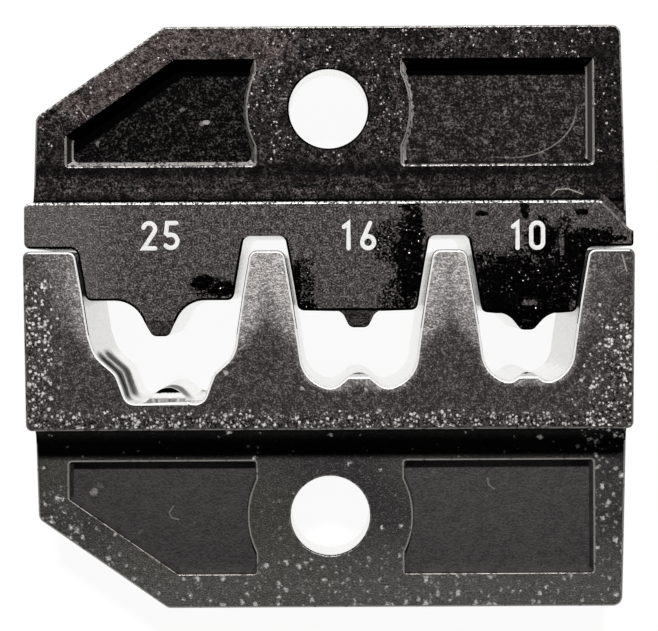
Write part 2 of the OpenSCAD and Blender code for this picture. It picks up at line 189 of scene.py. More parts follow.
def new_material(name):
    """An empty node material, its node tree, and the place on the piece in millimetres."""
    material = bpy.data.materials.new(name)
    material.use_nodes = True
    tree = material.node_tree
    tree.nodes.clear()
    mm = add(tree, "VectorMath", {0: add(tree, "TexCoord", out="Object"), "Scale": 1 / MM}, operation="SCALE")
    return material, tree, mm


def shaded(tree, colour, roughness, height, depth, metallic=1.0, gloss=0.5):
    """The surface itself, of steel unless metallic is 0. height is a pattern from 0 to 1, depth mm high.

    Metallic and gloss are lower where a thick skin of oxide or oil hides the metal.
    """
    bump = add(tree, "Bump", {"Height": height, "Distance": depth * MM})
    shader = add(tree, "BsdfPrincipled", {
        "Base Color": colour, "Roughness": roughness, "Metallic": metallic, "Specular IOR Level": gloss,
        "Normal": bump})
    add(tree, "OutputMaterial", {"Surface": shader})


def painted(tree, colour, *coats):
    """A colour with coats over it, each given as how much of it there is and its colour."""
    for share, coat in coats:
        colour = add(tree, "Mix", {0: share, 6: colour, 7: coat}, 2, data_type="RGBA")
    return colour


def away_from(tree, value, middle):
    """How far a value is from a middle, to either side."""
    return add(tree, "Math", (add(tree, "Math", (value, middle), **MINUS),), operation="ABSOLUTE")


def reaches_from(tree, mm, middle, reach):
    """How far a place is from a middle, seen from above, in multiples of a reach along x and one along y."""
    away = add(tree, "VectorMath", (mm, (*middle, 0)), **MINUS)
    share = add(tree, "VectorMath", (away, (1 / reach[0], 1 / reach[1], 0)), **TIMES)
    return add(tree, "VectorMath", (share,), "Value", operation="LENGTH")


def sintered_grain(tree, mm, width, seed):
    """Height of sintered grain, from 0 to 1: lumps about width mm across on broader and lower ones.

    Real grains of this steel are 0.02 to 0.05 mm, too fine to show, so width is two to four times as coarse.
    """
    fine = add(tree, "TexNoise", (mm, seed, 1 / width, 2.0, 0.65), **NOISE)
    broad = add(tree, "TexNoise", (mm, seed + 5, 0.3 / width, 1.0), **NOISE)
    return add(tree, "MapRange", (add(tree, "Mix", {0: 0.25, 2: fine, 3: broad}), 0.24, 0.76))


def flecks(tree, mm, width, zone, cover, seed, soft):
    """Irregular flecks about width mm across.

    zone says where they are, cover from what level of the noise up they show there, and soft how much of the
    noise's range their edges take. Where zone is 0, the level is one that the noise hardly reaches.
    """
    lumps = add(tree, "TexNoise", (mm, seed, 1 / width, 2.0, 0.6), **NOISE)
    level = add(tree, "MapRange", (zone, 0.0, 1.0, 0.9, cover))
    above = add(tree, "Math", (lumps, level), **MINUS)
    return add(tree, "MapRange", (above, 0.0, soft), **SOFT)


def dots(tree, mm, spacing, zone, share, seed, size, soft=0.2):
    """Specks of many sizes, one at most in each cell of spacing mm, with outlines that wobble.

    zone says where they are and share how many cells have one there. size is how far the largest one
    reaches and soft how wide its edge is, both in cells.
    """
    wobble = add(tree, "TexNoise", (mm, seed, 2 / spacing, 1.0), 1, **NOISE)
    wobble = add(tree, "VectorMath", (wobble, (0.5, 0.5, 0.5)), **MINUS)
    wobble = add(tree, "VectorMath", {0: wobble, "Scale": spacing}, operation="SCALE")
    place = add(tree, "VectorMath", (mm, wobble), **PLUS)
    place = add(tree, "VectorMath", (place, (seed, seed, seed)), **PLUS)
    cell = add(tree, "TexVoronoi", {"Vector": place, "Scale": 1 / spacing}, None).outputs
    pick = add(tree, "SeparateColor", (cell["Color"],))
    least = add(tree, "Math", (zone, -share, 1.0), **TIMES_PLUS)
    # The range ends just over 1, so that it is never empty
    reach = add(tree, "MapRange", (pick, least, 1.001, 0.0, size))
    depth = add(tree, "Math", (reach, cell["Distance"]), **MINUS)
    return add(tree, "MapRange", (depth, 0.0, soft), **SOFT)


# Widths of the lumps and lines in the marks below, in mm, as they are on the real die: the fine specks that
# fray the outline of a blot, the mottle on the teeth, the clusters of knocks on the lower bar and flange, the
# patches and blotches on the upper flange, and the green tinge on the lower one. Then the lumps of the shade
# painted beyond the upper flange's fillet.
FRAY_WIDTH, MOTTLE_WIDTH = 0.11, 0.45
BAR_CLUSTERS_WIDTH, FLANGE_CLUSTERS_WIDTH = 1.1, 1.3
PATCH_WIDTH, BLOTCH_WIDTH, FILLET_SHADE_WIDTH, GREEN_WIDTH = 1.2, 0.9, 0.5, 5.0
# The wave of the painted reflection streaks, and streaks of oil on a wall
REFLECTION_WAVE_WIDTH, WALL_STREAK_WIDTH = 1.5, 0.3
# The lines that press, lap and polishing leave are under 0.03 mm wide, and so is the grain of worn steel and
# of ink. All of them are drawn as coarse as they need to be to show.
PRESS_LINE_WIDTH, LAP_LINE_WIDTH, POLISH_LINE_WIDTH = 0.11, 0.12, 0.16
FINE_GRAIN_WIDTH = 0.08


def blots(tree, mm, places, ragged, width, seed):
    """1 inside any of some ellipses and 0 outside, with outlines ragged by lumps about width mm across.

    places holds each ellipse's middle and its reach along x and y in mm, and ragged says by what share of
    that reach the outline wanders.
    """
    outside = None
    for middle, reach in places:
        far = reaches_from(tree, mm, middle, reach)
        outside = far if outside is None else add(tree, "Math", (outside, far), **SMALLER)
    lumps = add(tree, "TexNoise", (mm, seed, 1 / width, 4.0, 0.65), **NOISE)
    shift = add(tree, "MapRange", (lumps, 0.25, 0.75, -ragged, ragged))
    fray = add(tree, "TexNoise", (mm, seed + 3, 1 / FRAY_WIDTH, 2.0), **NOISE)
    fray = add(tree, "MapRange", (fray, 0.2, 0.8, -0.4, 0.4))
    edge = add(tree, "Math", (add(tree, "Math", (outside, shift), **PLUS), fray), **PLUS)
    return add(tree, "MapRange", (edge, 1.1, 0.9), **SOFT)


def scratches(tree, mm, lines, width):
    """1 on any of some straight scratches and 0 elsewhere. Each line is a start and an end in mm."""
    flat = add(tree, "VectorMath", (mm, (1, 1, 0)), **TIMES)
    nearest = None
    for start, end in lines:
        run = Vector(end) - Vector(start)
        per_run = (*(run / run.length_squared), 0)
        away = add(tree, "VectorMath", (flat, (*start, 0)), **MINUS)
        along = add(tree, "VectorMath", (away, per_run), "Value", operation="DOT_PRODUCT")
        along = add(tree, "Clamp", (along,))
        foot = add(tree, "VectorMath", {0: (*run, 0), "Scale": along}, operation="SCALE")
        gap = add(tree, "VectorMath", (away, foot), "Value", operation="DISTANCE")
        nearest = gap if nearest is None else add(tree, "Math", (nearest, gap), **SMALLER)
    return add(tree, "MapRange", (nearest, width / 2, width / 5), **SOFT)


# Oil burnt on in glossy black on the upper bar, from the left: middle and reach of each stain, in mm
OIL_STAINS = (
    ((-9.24, -1.04), (0.7, 0.2)), ((-7.0, 1.95), (0.7, 0.4)), ((-5.8, 1.6), (0.8, 0.45)),
    ((-1.75, 1.9), (0.2, 1.3)), ((-1.35, 0.6), (0.8, 0.35)), ((1.59, -0.5), (0.6, 0.12)),
    ((4.45, 3.2), (0.85, 3.4)), ((8.44, 5.68), (0.4, 0.16)), ((10.8, 5.87), (0.25, 0.5)),
    ((10.9, 1.2), (3.3, 2.5)), ((11.7, 4.2), (0.95, 1.3)), ((13.2, 2.9), (1.1, 1.8)),
    ((13.9, 5.75), (0.35, 0.2)), ((14.3, 4.4), (1.5, 0.55)), ((15.7, 4.3), (0.7, 0.14)),
)
# Where it only spattered
OIL_SPATTER = (
    ((-6.5, 1.75), (1.4, 0.6)), ((-1.3, 1.9), (0.6, 1.5)), ((3.2, 4.2), (1.1, 1.2)),
    ((3.6, 0.9), (1.0, 1.2)), ((8.6, 3.2), (0.8, 0.6)), ((12.9, 5.0), (0.5, 0.6)),
)
# Dry islands in the stains
DRY_ISLANDS = (((11.0, 0.80), (0.42, 0.16)), ((12.8, 4.2), (0.14, 0.9)))
# The bar's left end is paler: where that begins, and where it is full
PALE_END_X = (-10.5, -14.0)


def upper_bar_steel():
    """Tool steel, pressed, sintered and steam blackened: a dull dark grey grain, with pits and bright peaks.

    Oil has burnt on in glossy black, with a few grains proud of it.
    """
    finish = bpy.context.scene.crimp_finish
    material, tree, mm = new_material("steam_blackened_steel_bar")
    x = add(tree, "SeparateXYZ", (mm,), "X")
    grain = sintered_grain(tree, mm, finish.grain / MM, 1.0)
    oil = blots(tree, mm, OIL_STAINS, ragged=0.45, width=0.8, seed=2.0)
    spared = blots(tree, mm, DRY_ISLANDS, ragged=0.5, width=0.4, seed=6.0)
    oil = add(tree, "Math", (oil, spared), use_clamp=True, **MINUS)
    spattered = blots(tree, mm, OIL_SPATTER, ragged=0.4, width=0.8, seed=7.0)
    spatter = flecks(tree, mm, width=0.12, zone=spattered, cover=0.38, seed=8.0, soft=0.18)
    oil = add(tree, "Math", (oil, spatter), **LARGER)
    proud = dots(tree, mm, spacing=0.13, zone=oil, share=0.3, seed=4.0, size=0.6, soft=0.4)
    pale = add(tree, "MapRange", (x, *PALE_END_X), **SOFT)
    pits = add(tree, "MapRange", (grain, 0.54, 0.30, 0.0, 0.85))
    pits = add(tree, "Math", (pits, add(tree, "MapRange", (pale, 0.0, 1.0, 1.0, 0.45))), **TIMES)
    peaks = add(tree, "MapRange", (grain, 0.52, 0.76, 0.0, 0.7))
    colour = painted(
        tree, linear(finish.oxide), (pale, linear("#575352")), (pits, linear("#0e0d0d")),
        (peaks, linear("#918b8a")), (oil, linear(finish.soot)), (proud, linear("#989291")))
    roughness = add(tree, "MapRange", (oil, 0.0, 1.0, 0.48, 0.16))
    shaded(tree, colour, roughness, height=grain, depth=0.02)
    return material


# The round lobes at the feet of the two narrower nests: middle and radius of each, in mm
LOBES = (((0.26, -2.03), 1.8), ((3.00, -2.03), 1.8), ((10.15, -1.86), 1.7), ((11.69, -1.86), 1.7))
# How far up the teeth the lobes' rubbed rims reach, and how wide a rubbed rim is
LOBE_TOP_Y = -2.0
RIM_W = 0.42
# How fast a tooth's pallor, wear and painted reflection, fades for each mm down the tooth: at its flanks, and
# more for each mm inward
FADE_AT_FLANK, FADE_INWARD = 0.055, 0.085
# How much of it is left on the outer teeth: side, and share
OUTER_TEETH = ((-1, 0.32), (1, 0.12))
# Scratches across the teeth, in mm
TOOTH_SCRATCHES = (((5.15, -0.9), (5.85, -0.55)), ((16.1, 3.4), (16.35, 2.5)), ((-4.95, -1.7), (-4.6, -1.45)))


def tooth_place(tree, x, y):
    """How far down the teeth a place is, and how far inside a tooth it is from the nearest flank, in mm."""
    down = add(tree, "Math", (TOOTH_TOP_Y, y), **MINUS)
    inward = None
    for middle, half in NESTS:
        beside = add(tree, "Math", (down, FLANK_SLOPE, away_from(tree, x, middle)), **TIMES_PLUS)
        beside = add(tree, "Math", (beside, half), **MINUS)
        inward = beside if inward is None else add(tree, "Math", (inward, beside), **SMALLER)
    return down, add(tree, "Math", (inward, 0.0), **LARGER)


def rubbed_rim(tree, mm, y, inward):
    """A narrow pale rim beside the nests, down the flanks and round the lobes."""
    rim = add(tree, "Math", (inward, add(tree, "Math", (LOBE_TOP_Y, y), **MINUS)), **LARGER)
    below = add(tree, "Math", (y, LOBE_TOP_Y), **MINUS)
    for middle, radius in LOBES:
        gap = add(tree, "Math", (reaches_from(tree, mm, middle, (1, 1)), radius), **MINUS)
        rim = add(tree, "Math", (rim, add(tree, "Math", (gap, below), **LARGER)), **SMALLER)
    return add(tree, "MapRange", (rim, RIM_W, 0.0, 0.0, 0.6), **SOFT)


def teeth_wear_and_sheen(tree, mm, x, y):
    """How pale the teeth are, by wear and painted reflection: most at tips and flanks, less to the right."""
    down, inward = tooth_place(tree, x, y)
    fade = add(tree, "Math", (inward, FADE_INWARD, FADE_AT_FLANK), **TIMES_PLUS)
    fall = add(tree, "Math", (down, fade), **TIMES)
    low = add(tree, "MapRange", (down, 4.2, 8.2))
    rubbed = add(tree, "MapRange", (add(tree, "Math", (fall, low), **PLUS), 1.0, 0.1), **SOFT)
    core = add(tree, "MapRange", (inward, 2.6, 0.9, 0.1, 1.0))
    rubbed = add(tree, "Math", (rubbed, core), **TIMES)
    for side, share in OUTER_TEETH:
        outer_tooth = add(tree, "MapRange", (x, 13.0 * side, 14.4 * side, 1.0, share))
        rubbed = add(tree, "Math", (rubbed, outer_tooth), **TIMES)
    rubbed = add(tree, "Math", (rubbed, add(tree, "MapRange", (x, 2.0, 6.0, 1.0, 0.86))), **TIMES)
    mottle = add(tree, "TexNoise", (mm, 4.0, 1 / MOTTLE_WIDTH, 4.0, 0.7), **NOISE)
    rubbed = add(tree, "Math", (rubbed, add(tree, "MapRange", (mottle, 0.3, 0.7, 0.55, 1.3))), **TIMES)
    rim = rubbed_rim(tree, mm, y, inward)
    rim = add(tree, "Math", (rim, add(tree, "MapRange", (mottle, 0.3, 0.6, 0.5, 1.0))), **TIMES)
    return add(tree, "Math", (rubbed, rim), **LARGER)


# Where the lower bar is knocked white, each as where that begins and where it is full: along x and y at its
# left end, the same at its right end, where the inner limit slants, and along y at its foot
LEFT_KNOCKS_X, LEFT_KNOCKS_Y = (2.3 - BAR_HALF_W, 0.9 - BAR_HALF_W), (2.6, 1.6)
RIGHT_KNOCKS_X, RIGHT_KNOCKS_Y = (14.2, 16.6), (1.6, 0.2)
RIGHT_SLANT = -0.4
FOOT_KNOCKS_Y = (LOWER_SEAT_Y + 1.35, LOWER_SEAT_Y + 0.55)


def knocked_zone(tree, mm, x, y, z):
    """Where the lower bar is knocked white: at its ends and its foot, and little in mid thickness."""
    left = add(tree, "MapRange", (x, *LEFT_KNOCKS_X), **SOFT)
    left = add(tree, "Math", (left, add(tree, "MapRange", (y, *LEFT_KNOCKS_Y), **SOFT)), **TIMES)
    slanting = add(tree, "Math", (y, RIGHT_SLANT, x), **TIMES_PLUS)
    right = add(tree, "MapRange", (slanting, *RIGHT_KNOCKS_X), **SOFT)
    right = add(tree, "Math", (right, add(tree, "MapRange", (y, *RIGHT_KNOCKS_Y), **SOFT)), **TIMES)
    ends = add(tree, "Math", (left, right), **LARGER)
    clusters = add(tree, "TexNoise", (mm, 3.0, 1 / BAR_CLUSTERS_WIDTH, 2.0), **NOISE)
    ends = add(tree, "Math", (ends, add(tree, "MapRange", (clusters, 0.36, 0.54, 0.45, 1.0))), **TIMES)
    foot = add(tree, "MapRange", (y, *FOOT_KNOCKS_Y), **SOFT)
    zone = add(tree, "Math", (ends, foot), **LARGER)
    near_face = add(tree, "MapRange", (away_from(tree, z, MID), 3.0, 5.8, 0.15, 1.0))
    return add(tree, "Math", (zone, near_face), **TIMES)


def lower_bar_steel():
    """Tool steel, tumbled after blackening: pale along the teeth, and specked white at its ends and its foot.

    The grain is a little finer than on the upper bar.
    """
    finish = bpy.context.scene.crimp_finish
    material, tree, mm = new_material("tumbled_blackened_steel_bar")
    x, y, z = add(tree, "SeparateXYZ", (mm,), None).outputs
    grain = sintered_grain(tree, mm, finish.grain / MM * 0.9, 2.0)
    # Pale teeth: partly wear, partly painted reflection, lightest at the tips
    rubbed = teeth_wear_and_sheen(tree, mm, x, y)
    zone = knocked_zone(tree, mm, x, y, z)
    specks = dots(tree, mm, spacing=0.17, zone=zone, share=0.95, seed=3.0, size=0.8, soft=0.5)
    knocks = dots(tree, mm, spacing=0.3, zone=zone, share=0.45, seed=9.0, size=0.65, soft=0.5)
    specks = add(tree, "Math", (specks, knocks), **LARGER)
    holes = flecks(tree, mm, width=0.12, zone=zone, cover=0.50, seed=7.0, soft=0.1)
    stray = dots(tree, mm, spacing=0.7, zone=1.0, share=0.25, seed=5.0, size=0.3)
    lines = add(tree, "Math", (scratches(tree, mm, TOOTH_SCRATCHES, width=0.12), 0.55), **TIMES)
    pits = add(tree, "MapRange", (grain, 0.52, 0.28, 0.0, 0.6))
    rubbed_peaks = add(tree, "MapRange", (rubbed, 0.0, 0.6, 0.22, 0.8))
    peaks = add(tree, "MapRange", (grain, 0.52, 0.76, 0.0, rubbed_peaks))
    colour = painted(
        tree, linear("#3f3c3b"), (rubbed, linear("#a9a4a2")), (pits, linear("#1b1919")),
        (peaks, linear("#d1cbc9")), (holes, linear("#0f0e0e")), (stray, linear("#a5a19f")),
        (specks, linear("#dad7d3")), (lines, linear("#b5b1ac")))
    shaded(tree, colour, roughness=0.47, height=grain, depth=0.015)
    return material


# The upper flange, in mm: browner patches by the clipped corner, and gritty ones on both sides of the hole
WARM_PATCHES = (((-8.6, 15.6), (6.5, 2.6)), ((-12.5, 12.8), (3.2, 1.8)))
GRITTY_PATCHES = (((-2.9, 12.2), (1.6, 3.2)), ((3.0, 11.5), (1.2, 3.0)))
# The band of painted shade beyond the fillet: its two edges, each from where it begins to where it is full
FILLET_SHADE_Y = ((7.9, 8.15), (8.85, 8.6))
# The black line of oil behind the bar: its middle, and its half width from dry to oily
OIL_LINE_Y, OIL_LINE_HALF_W = UPPER_SEAT_Y + 0.18, (0.14, 0.06)
# Scratches, the last three one behind the other on the fillet
FLANGE_SCRATCHES = (
    ((-14.3, 12.1), (-13.7, 11.3)), ((-2.75, 12.4), (-2.35, 12.4)), ((-3.0, 10.4), (-2.7, 10.6)),
    ((12.6, 6.83), (12.95, 7.15)), ((12.95, 7.15), (13.6, 7.2)), ((13.6, 7.2), (14.4, 6.88)),
)


def shade_beyond_fillet(tree, mm, y):
    """How much shade is painted beyond the upper flange's fillet, uneven along its length."""
    (spared, painted_shade), (far_spared, far_painted_shade) = FILLET_SHADE_Y
    band = add(tree, "MapRange", (y, spared, painted_shade), **SOFT)
    band = add(tree, "Math", (band, add(tree, "MapRange", (y, far_spared, far_painted_shade), **SOFT)), **TIMES)
    unevenness = add(tree, "TexNoise", (mm, 9.0, 1 / FILLET_SHADE_WIDTH, 3.0), **NOISE)
    return add(tree, "Math", (band, add(tree, "MapRange", (unevenness, 0.3, 0.6, 0.5, 0.9))), **TIMES)


def upper_flange_steel():
    """Tool steel as it was sintered: a coarse black and grey grain, browner towards the clipped corner.

    It is blotched black, most of all at its right end, and has bright grit beside the hole.
    """
    finish = bpy.context.scene.crimp_finish
    material, tree, mm = new_material("as_sintered_steel_flange")
    x, y, _ = add(tree, "SeparateXYZ", (mm,), None).outputs
    grain = sintered_grain(tree, mm, finish.grain / MM * 1.15, 3.0)
    warm = blots(tree, mm, WARM_PATCHES, ragged=0.25, width=2.0, seed=2.0)
    patches = add(tree, "TexNoise", (mm, 12.0, 1 / PATCH_WIDTH, 3.0), **NOISE)
    patches = add(tree, "MapRange", (patches, 0.32, 0.68, 0.1, 0.85))
    patches = add(tree, "Math", (warm, 0.3, patches), **TIMES_PLUS)
    pits = add(tree, "MapRange", (grain, 0.58, 0.32, 0.0, 0.85))
    peaks = add(tree, "MapRange", (grain, 0.50, 0.80))
    peaks = add(tree, "Math", (peaks, patches), use_clamp=True, **TIMES)
    blotches = add(tree, "TexNoise", (mm, 15.0, 1 / BLOTCH_WIDTH, 4.0, 0.65), **NOISE)
    blotches = add(tree, "MapRange", (blotches, 0.48, 0.66, 0.0, 0.75), **SOFT)
    right_end = add(tree, "MapRange", (x, 13.8, 15.0, 0.0, 0.5))
    blotches = add(tree, "Math", (blotches, right_end), **LARGER)
    gritty = blots(tree, mm, GRITTY_PATCHES, ragged=0.3, width=1.0, seed=4.0)
    gritty = add(tree, "MapRange", (gritty, 0.0, 1.0, 0.25, 0.7))
    gritty = add(tree, "Math", (gritty, add(tree, "MapRange", (y, 8.6, 9.2))), **TIMES)
    grit = dots(tree, mm, spacing=0.16, zone=gritty, share=0.7, seed=5.0, size=0.6, soft=0.4)
    lines = add(tree, "Math", (scratches(tree, mm, FLANGE_SCRATCHES, width=0.10), 0.6), **TIMES)
    oil_line = add(tree, "MapRange", (away_from(tree, y, OIL_LINE_Y), *OIL_LINE_HALF_W), **SOFT)
    # Beyond the fillet, shade is painted on near black
    colour = painted(
        tree, linear(finish.oxide_flange), (warm, linear("#504745")), (pits, linear("#070606")),
        (peaks, linear("#7b7472")), (blotches, linear("#0b0a0a")), (grit, linear("#bbb5b3")),
        (lines, linear("#a09a94")), (shade_beyond_fillet(tree, mm, y), linear("#0d0c0c")),
        (oil_line, linear("#040404")))
    shaded(tree, colour, roughness=0.5, height=grain, depth=0.03)
    return material


# Where the lower flange is knocked: along its free edge, its right side and its clipped corner, where x + y
# is least. Then where it is paler, and where the bar's shadow over it is painted near black. Each is where
# that begins and where it is full.
FREE_KNOCKS_Y = (LOWER_LOW.y + 4.2, LOWER_LOW.y + 1.4)
SIDE_KNOCKS_X = (BAR_HALF_W - 3.0, BAR_HALF_W - 1.6)
CLIP_KNOCKS_XY = (-24.0, -26.0)
PALER_Y = (LOWER_SEAT_Y - 5.2, LOWER_LOW.y + 1.0)
BAR_SHADOW_Y = (LOWER_SEAT_Y - 2.1, LOWER_SEAT_Y - 1.6)


def lower_flange_steel():
    """Tool steel, tumbled smoother: an even charcoal, green in places, with pale knocks at its rims."""
    finish = bpy.context.scene.crimp_finish
    material, tree, mm = new_material("tumbled_steel_flange")
    x, y, _ = add(tree, "SeparateXYZ", (mm,), None).outputs
    grain = sintered_grain(tree, mm, finish.grain / MM, 4.0)
    green = add(tree, "TexNoise", (mm, 6.0, 1 / GREEN_WIDTH, 1.0), **NOISE)
    green = add(tree, "Math", (add(tree, "MapRange", (green, 0.4, 0.65), **SOFT), 0.5), **TIMES)
    rim = add(tree, "MapRange", (y, *FREE_KNOCKS_Y), **SOFT)
    rim = add(tree, "Math", (rim, add(tree, "MapRange", (x, *SIDE_KNOCKS_X), **SOFT)), **LARGER)
    clip = add(tree, "MapRange", (add(tree, "Math", (x, y), **PLUS), *CLIP_KNOCKS_XY), **SOFT)
    rim = add(tree, "Math", (rim, clip), **LARGER)
    clusters = add(tree, "TexNoise", (mm, 2.0, 1 / FLANGE_CLUSTERS_WIDTH, 2.0), **NOISE)
    rim = add(tree, "Math", (rim, add(tree, "MapRange", (clusters, 0.35, 0.6, 0.4, 1.0))), **TIMES)
    zone = add(tree, "MapRange", (rim, 0.0, 1.0, 0.08, 1.0))
    knocks = dots(tree, mm, spacing=0.36, zone=zone, share=1.0, seed=2.5, size=0.68, soft=0.55)
    specks = dots(tree, mm, spacing=0.20, zone=zone, share=0.9, seed=4.5, size=0.65, soft=0.6)
    pale = add(tree, "MapRange", (y, *PALER_Y))
    # Painted shadow: the strip beside the bar, where its shadow falls, goes near black
    painted_shade = add(tree, "MapRange", (y, *BAR_SHADOW_Y, 0.0, 0.9), **SOFT)
    pits = add(tree, "MapRange", (grain, 0.50, 0.28, 0.0, 0.6))
    peaks = add(tree, "MapRange", (grain, 0.54, 0.76, 0.0, 0.5))
    colour = painted(
        tree, linear(finish.oxide_smooth), (pale, linear("#646260")), (green, linear("#55554d")),
        (pits, linear("#2a2929")), (peaks, linear("#7b7977")), (painted_shade, linear("#060606")),
        (specks, linear("#9b9996")), (knocks, linear("#d6d4d1")))
    shaded(tree, colour, roughness=0.46, height=grain, depth=0.012)
    return material


# Pale spots on the pockets' floors, and hooked scratches on those of the lower half
POCKET_SPOTS = (((-13.56, -10.0), (0.24, 0.2)), ((-7.0, 11.15), (0.2, 0.12)), ((-13.9, 8.3), (0.1, 0.1)))
POCKET_HOOKS = (
    ((-9.0, -10.85), (-9.25, -11.2)), ((-9.25, -11.2), (-9.1, -11.5)), ((-9.1, -11.5), (-8.7, -11.6)),
    ((9.02, -9.3), (9.08, -9.7)), ((9.08, -9.7), (9.4, -9.95)),
)
SPOT_COLOUR = "#8b8886"
# The tide mark in the upper right pocket, part of an ellipse: its middle, and its reach along x and y
TIDE_MIDDLE, TIDE_REACH = (10.4, 11.9), (3.82, 2.86)
# The upper pockets' far walls: the straight one, and the slanting one as a line a x + b y = c
POCKET_TOP_Y = UPPER_TOP_Y - 1.95
POCKET_SLANT = (0.563, -0.799, -16.46)
# How far painted shadow reaches from those walls over the floor, from where it begins to where it is full
WALL_SHADOW_REACH = (0.84, 0.74)


def upper_pocket_marks(tree, mm):
    """A tide mark of oil, a quarter circle in the lower right corner, and painted shadow by the far walls."""
    x, y, _ = add(tree, "SeparateXYZ", (mm,), None).outputs
    ring = away_from(tree, reaches_from(tree, mm, TIDE_MIDDLE, TIDE_REACH), 1.0)
    ring = add(tree, "MapRange", (ring, 0.016, 0.004), **SOFT)
    corner = add(tree, "MapRange", (add(tree, "Math", (x, y), **MINUS), 0.0, 2.2))
    tide = add(tree, "Math", (ring, corner), **TIMES)
    tide = add(tree, "Math", (tide, add(tree, "MapRange", (y, 12.4, 10.8, 0.0, 0.6))), **TIMES)
    a, b, c = POCKET_SLANT
    from_slant = add(tree, "VectorMath", (mm, (a, b, 0)), "Value", operation="DOT_PRODUCT")
    from_slant = add(tree, "Math", (from_slant, c), **MINUS)
    from_top = add(tree, "Math", (POCKET_TOP_Y, y), **MINUS)
    from_wall = add(tree, "Math", (from_slant, from_top), **SMALLER)
    # Painted shadow: the floor beside the far walls goes near black, a little farther out than the lamp's
    # shadow
    painted_shade = add(tree, "MapRange", (from_wall, *WALL_SHADOW_REACH), **SOFT)
    return (tide, linear("#8c8884")), (painted_shade, linear("#030303"))


def lower_pocket_marks(tree, mm):
    """Small hooked scratches."""
    hooks = add(tree, "Math", (scratches(tree, mm, POCKET_HOOKS, width=0.12), 0.7), **TIMES)
    return ((hooks, linear(SPOT_COLOUR)),)


def pocket_steel(name, left, right, dark, marks):
    """Tool steel with a pressed floor, where the press leaves fine lines along the bar on the sintered grain.

    left and right are the shades of the two floors, dark is how strongly the grain shows, and marks is the
    function that gives their marks.
    """
    material, tree, mm = new_material(name)
    x = add(tree, "SeparateXYZ", (mm,), "X")
    drawn = add(tree, "VectorMath", (mm, (0.12, 1.0, 1.0)), **TIMES)
    lines = add(tree, "TexNoise", (drawn, 1.0, 1 / PRESS_LINE_WIDTH, 2.0), **NOISE)
    grain = sintered_grain(tree, mm, width=0.12, seed=6.0)
    height = add(tree, "Mix", {0: 0.25, 2: grain, 3: lines})
    pits = add(tree, "MapRange", (height, 0.54, 0.34, 0.0, dark))
    on_right = add(tree, "MapRange", (x, -1.0, 1.0))
    strength = add(tree, "MapRange", (on_right, 0.0, 1.0, 0.5 * dark, dark))
    peaks = add(tree, "MapRange", (height, 0.53, 0.74, 0.0, strength))
    specks = dots(tree, mm, spacing=0.6, zone=1.0, share=0.3, seed=3.0, size=0.4)
    spots = blots(tree, mm, POCKET_SPOTS, ragged=0.4, width=0.3, seed=3.0)
    colour = painted(
        tree, linear(left), (on_right, linear(right)), (pits, linear("#080808")), (peaks, linear("#686562")),
        (specks, linear("#625f5d")), (spots, linear(SPOT_COLOUR)), *marks(tree, mm))
    shaded(tree, colour, roughness=0.46, height=height, depth=0.012)
    return material


# Bare lapped steel, and where it is duller
LAPPED, DULLED = "#f7f6f4", "#d3d1ce"
DULL_WALLS = (((-13.2, 0.0), (1.2, 2.3)), ((13.6, -0.6), (1.2, 2.6)))


def lapped_colour(tree, mm):
    """Colour of lapped steel, duller on the outer walls of the first and last nest."""
    dull = blots(tree, mm, DULL_WALLS, ragged=0.1, width=1.0, seed=4.0)
    return painted(tree, linear(LAPPED), (dull, linear(DULLED)))


def lapped_steel():
    """Nests, punches, flanks and holes: tool steel, ground and lapped bare, which mirrors the white table."""
    material, tree, mm = new_material("lapped_bare_steel")
    drawn = add(tree, "VectorMath", (mm, (1.0, 1.0, 0.15)), **TIMES)
    lines = add(tree, "TexNoise", (drawn, 1.0, 1 / LAP_LINE_WIDTH, 2.0), **NOISE)
    roughness = add(tree, "MapRange", (lines, 0.3, 0.7, 0.16, 0.24))
    shaded(tree, lapped_colour(tree, mm), roughness, height=lines, depth=0.001)
    return material


# How far right and up the widest nest's lower left wall goes, and the middle and half width of its ridge
REFLECTION_WALL_X, REFLECTION_WALL_Y = -10.6, -1.5
RIDGE_X, RIDGE_HALF_W = -8.9, 1.6
# Dark streaks on that wall, a painted reflection: height over the table, half width and depth of colour
REFLECTION_STREAKS = ((10.4, 2.3, 0.95), (6.6, 2.9, 0.8))
# Where they fade out: at the wall's top, its foot and its right end
STREAK_TOP_Y = (REFLECTION_WALL_Y - 0.2, REFLECTION_WALL_Y - 0.8)
STREAK_FOOT_Y = (-4.7, -4.2)
STREAK_END_X = (-10.2, -10.5)
# The painted shade on the ridge: its middle along x and over the table
RIDGE_SHADE_X, RIDGE_SHADE_Z = -8.5, 9.6


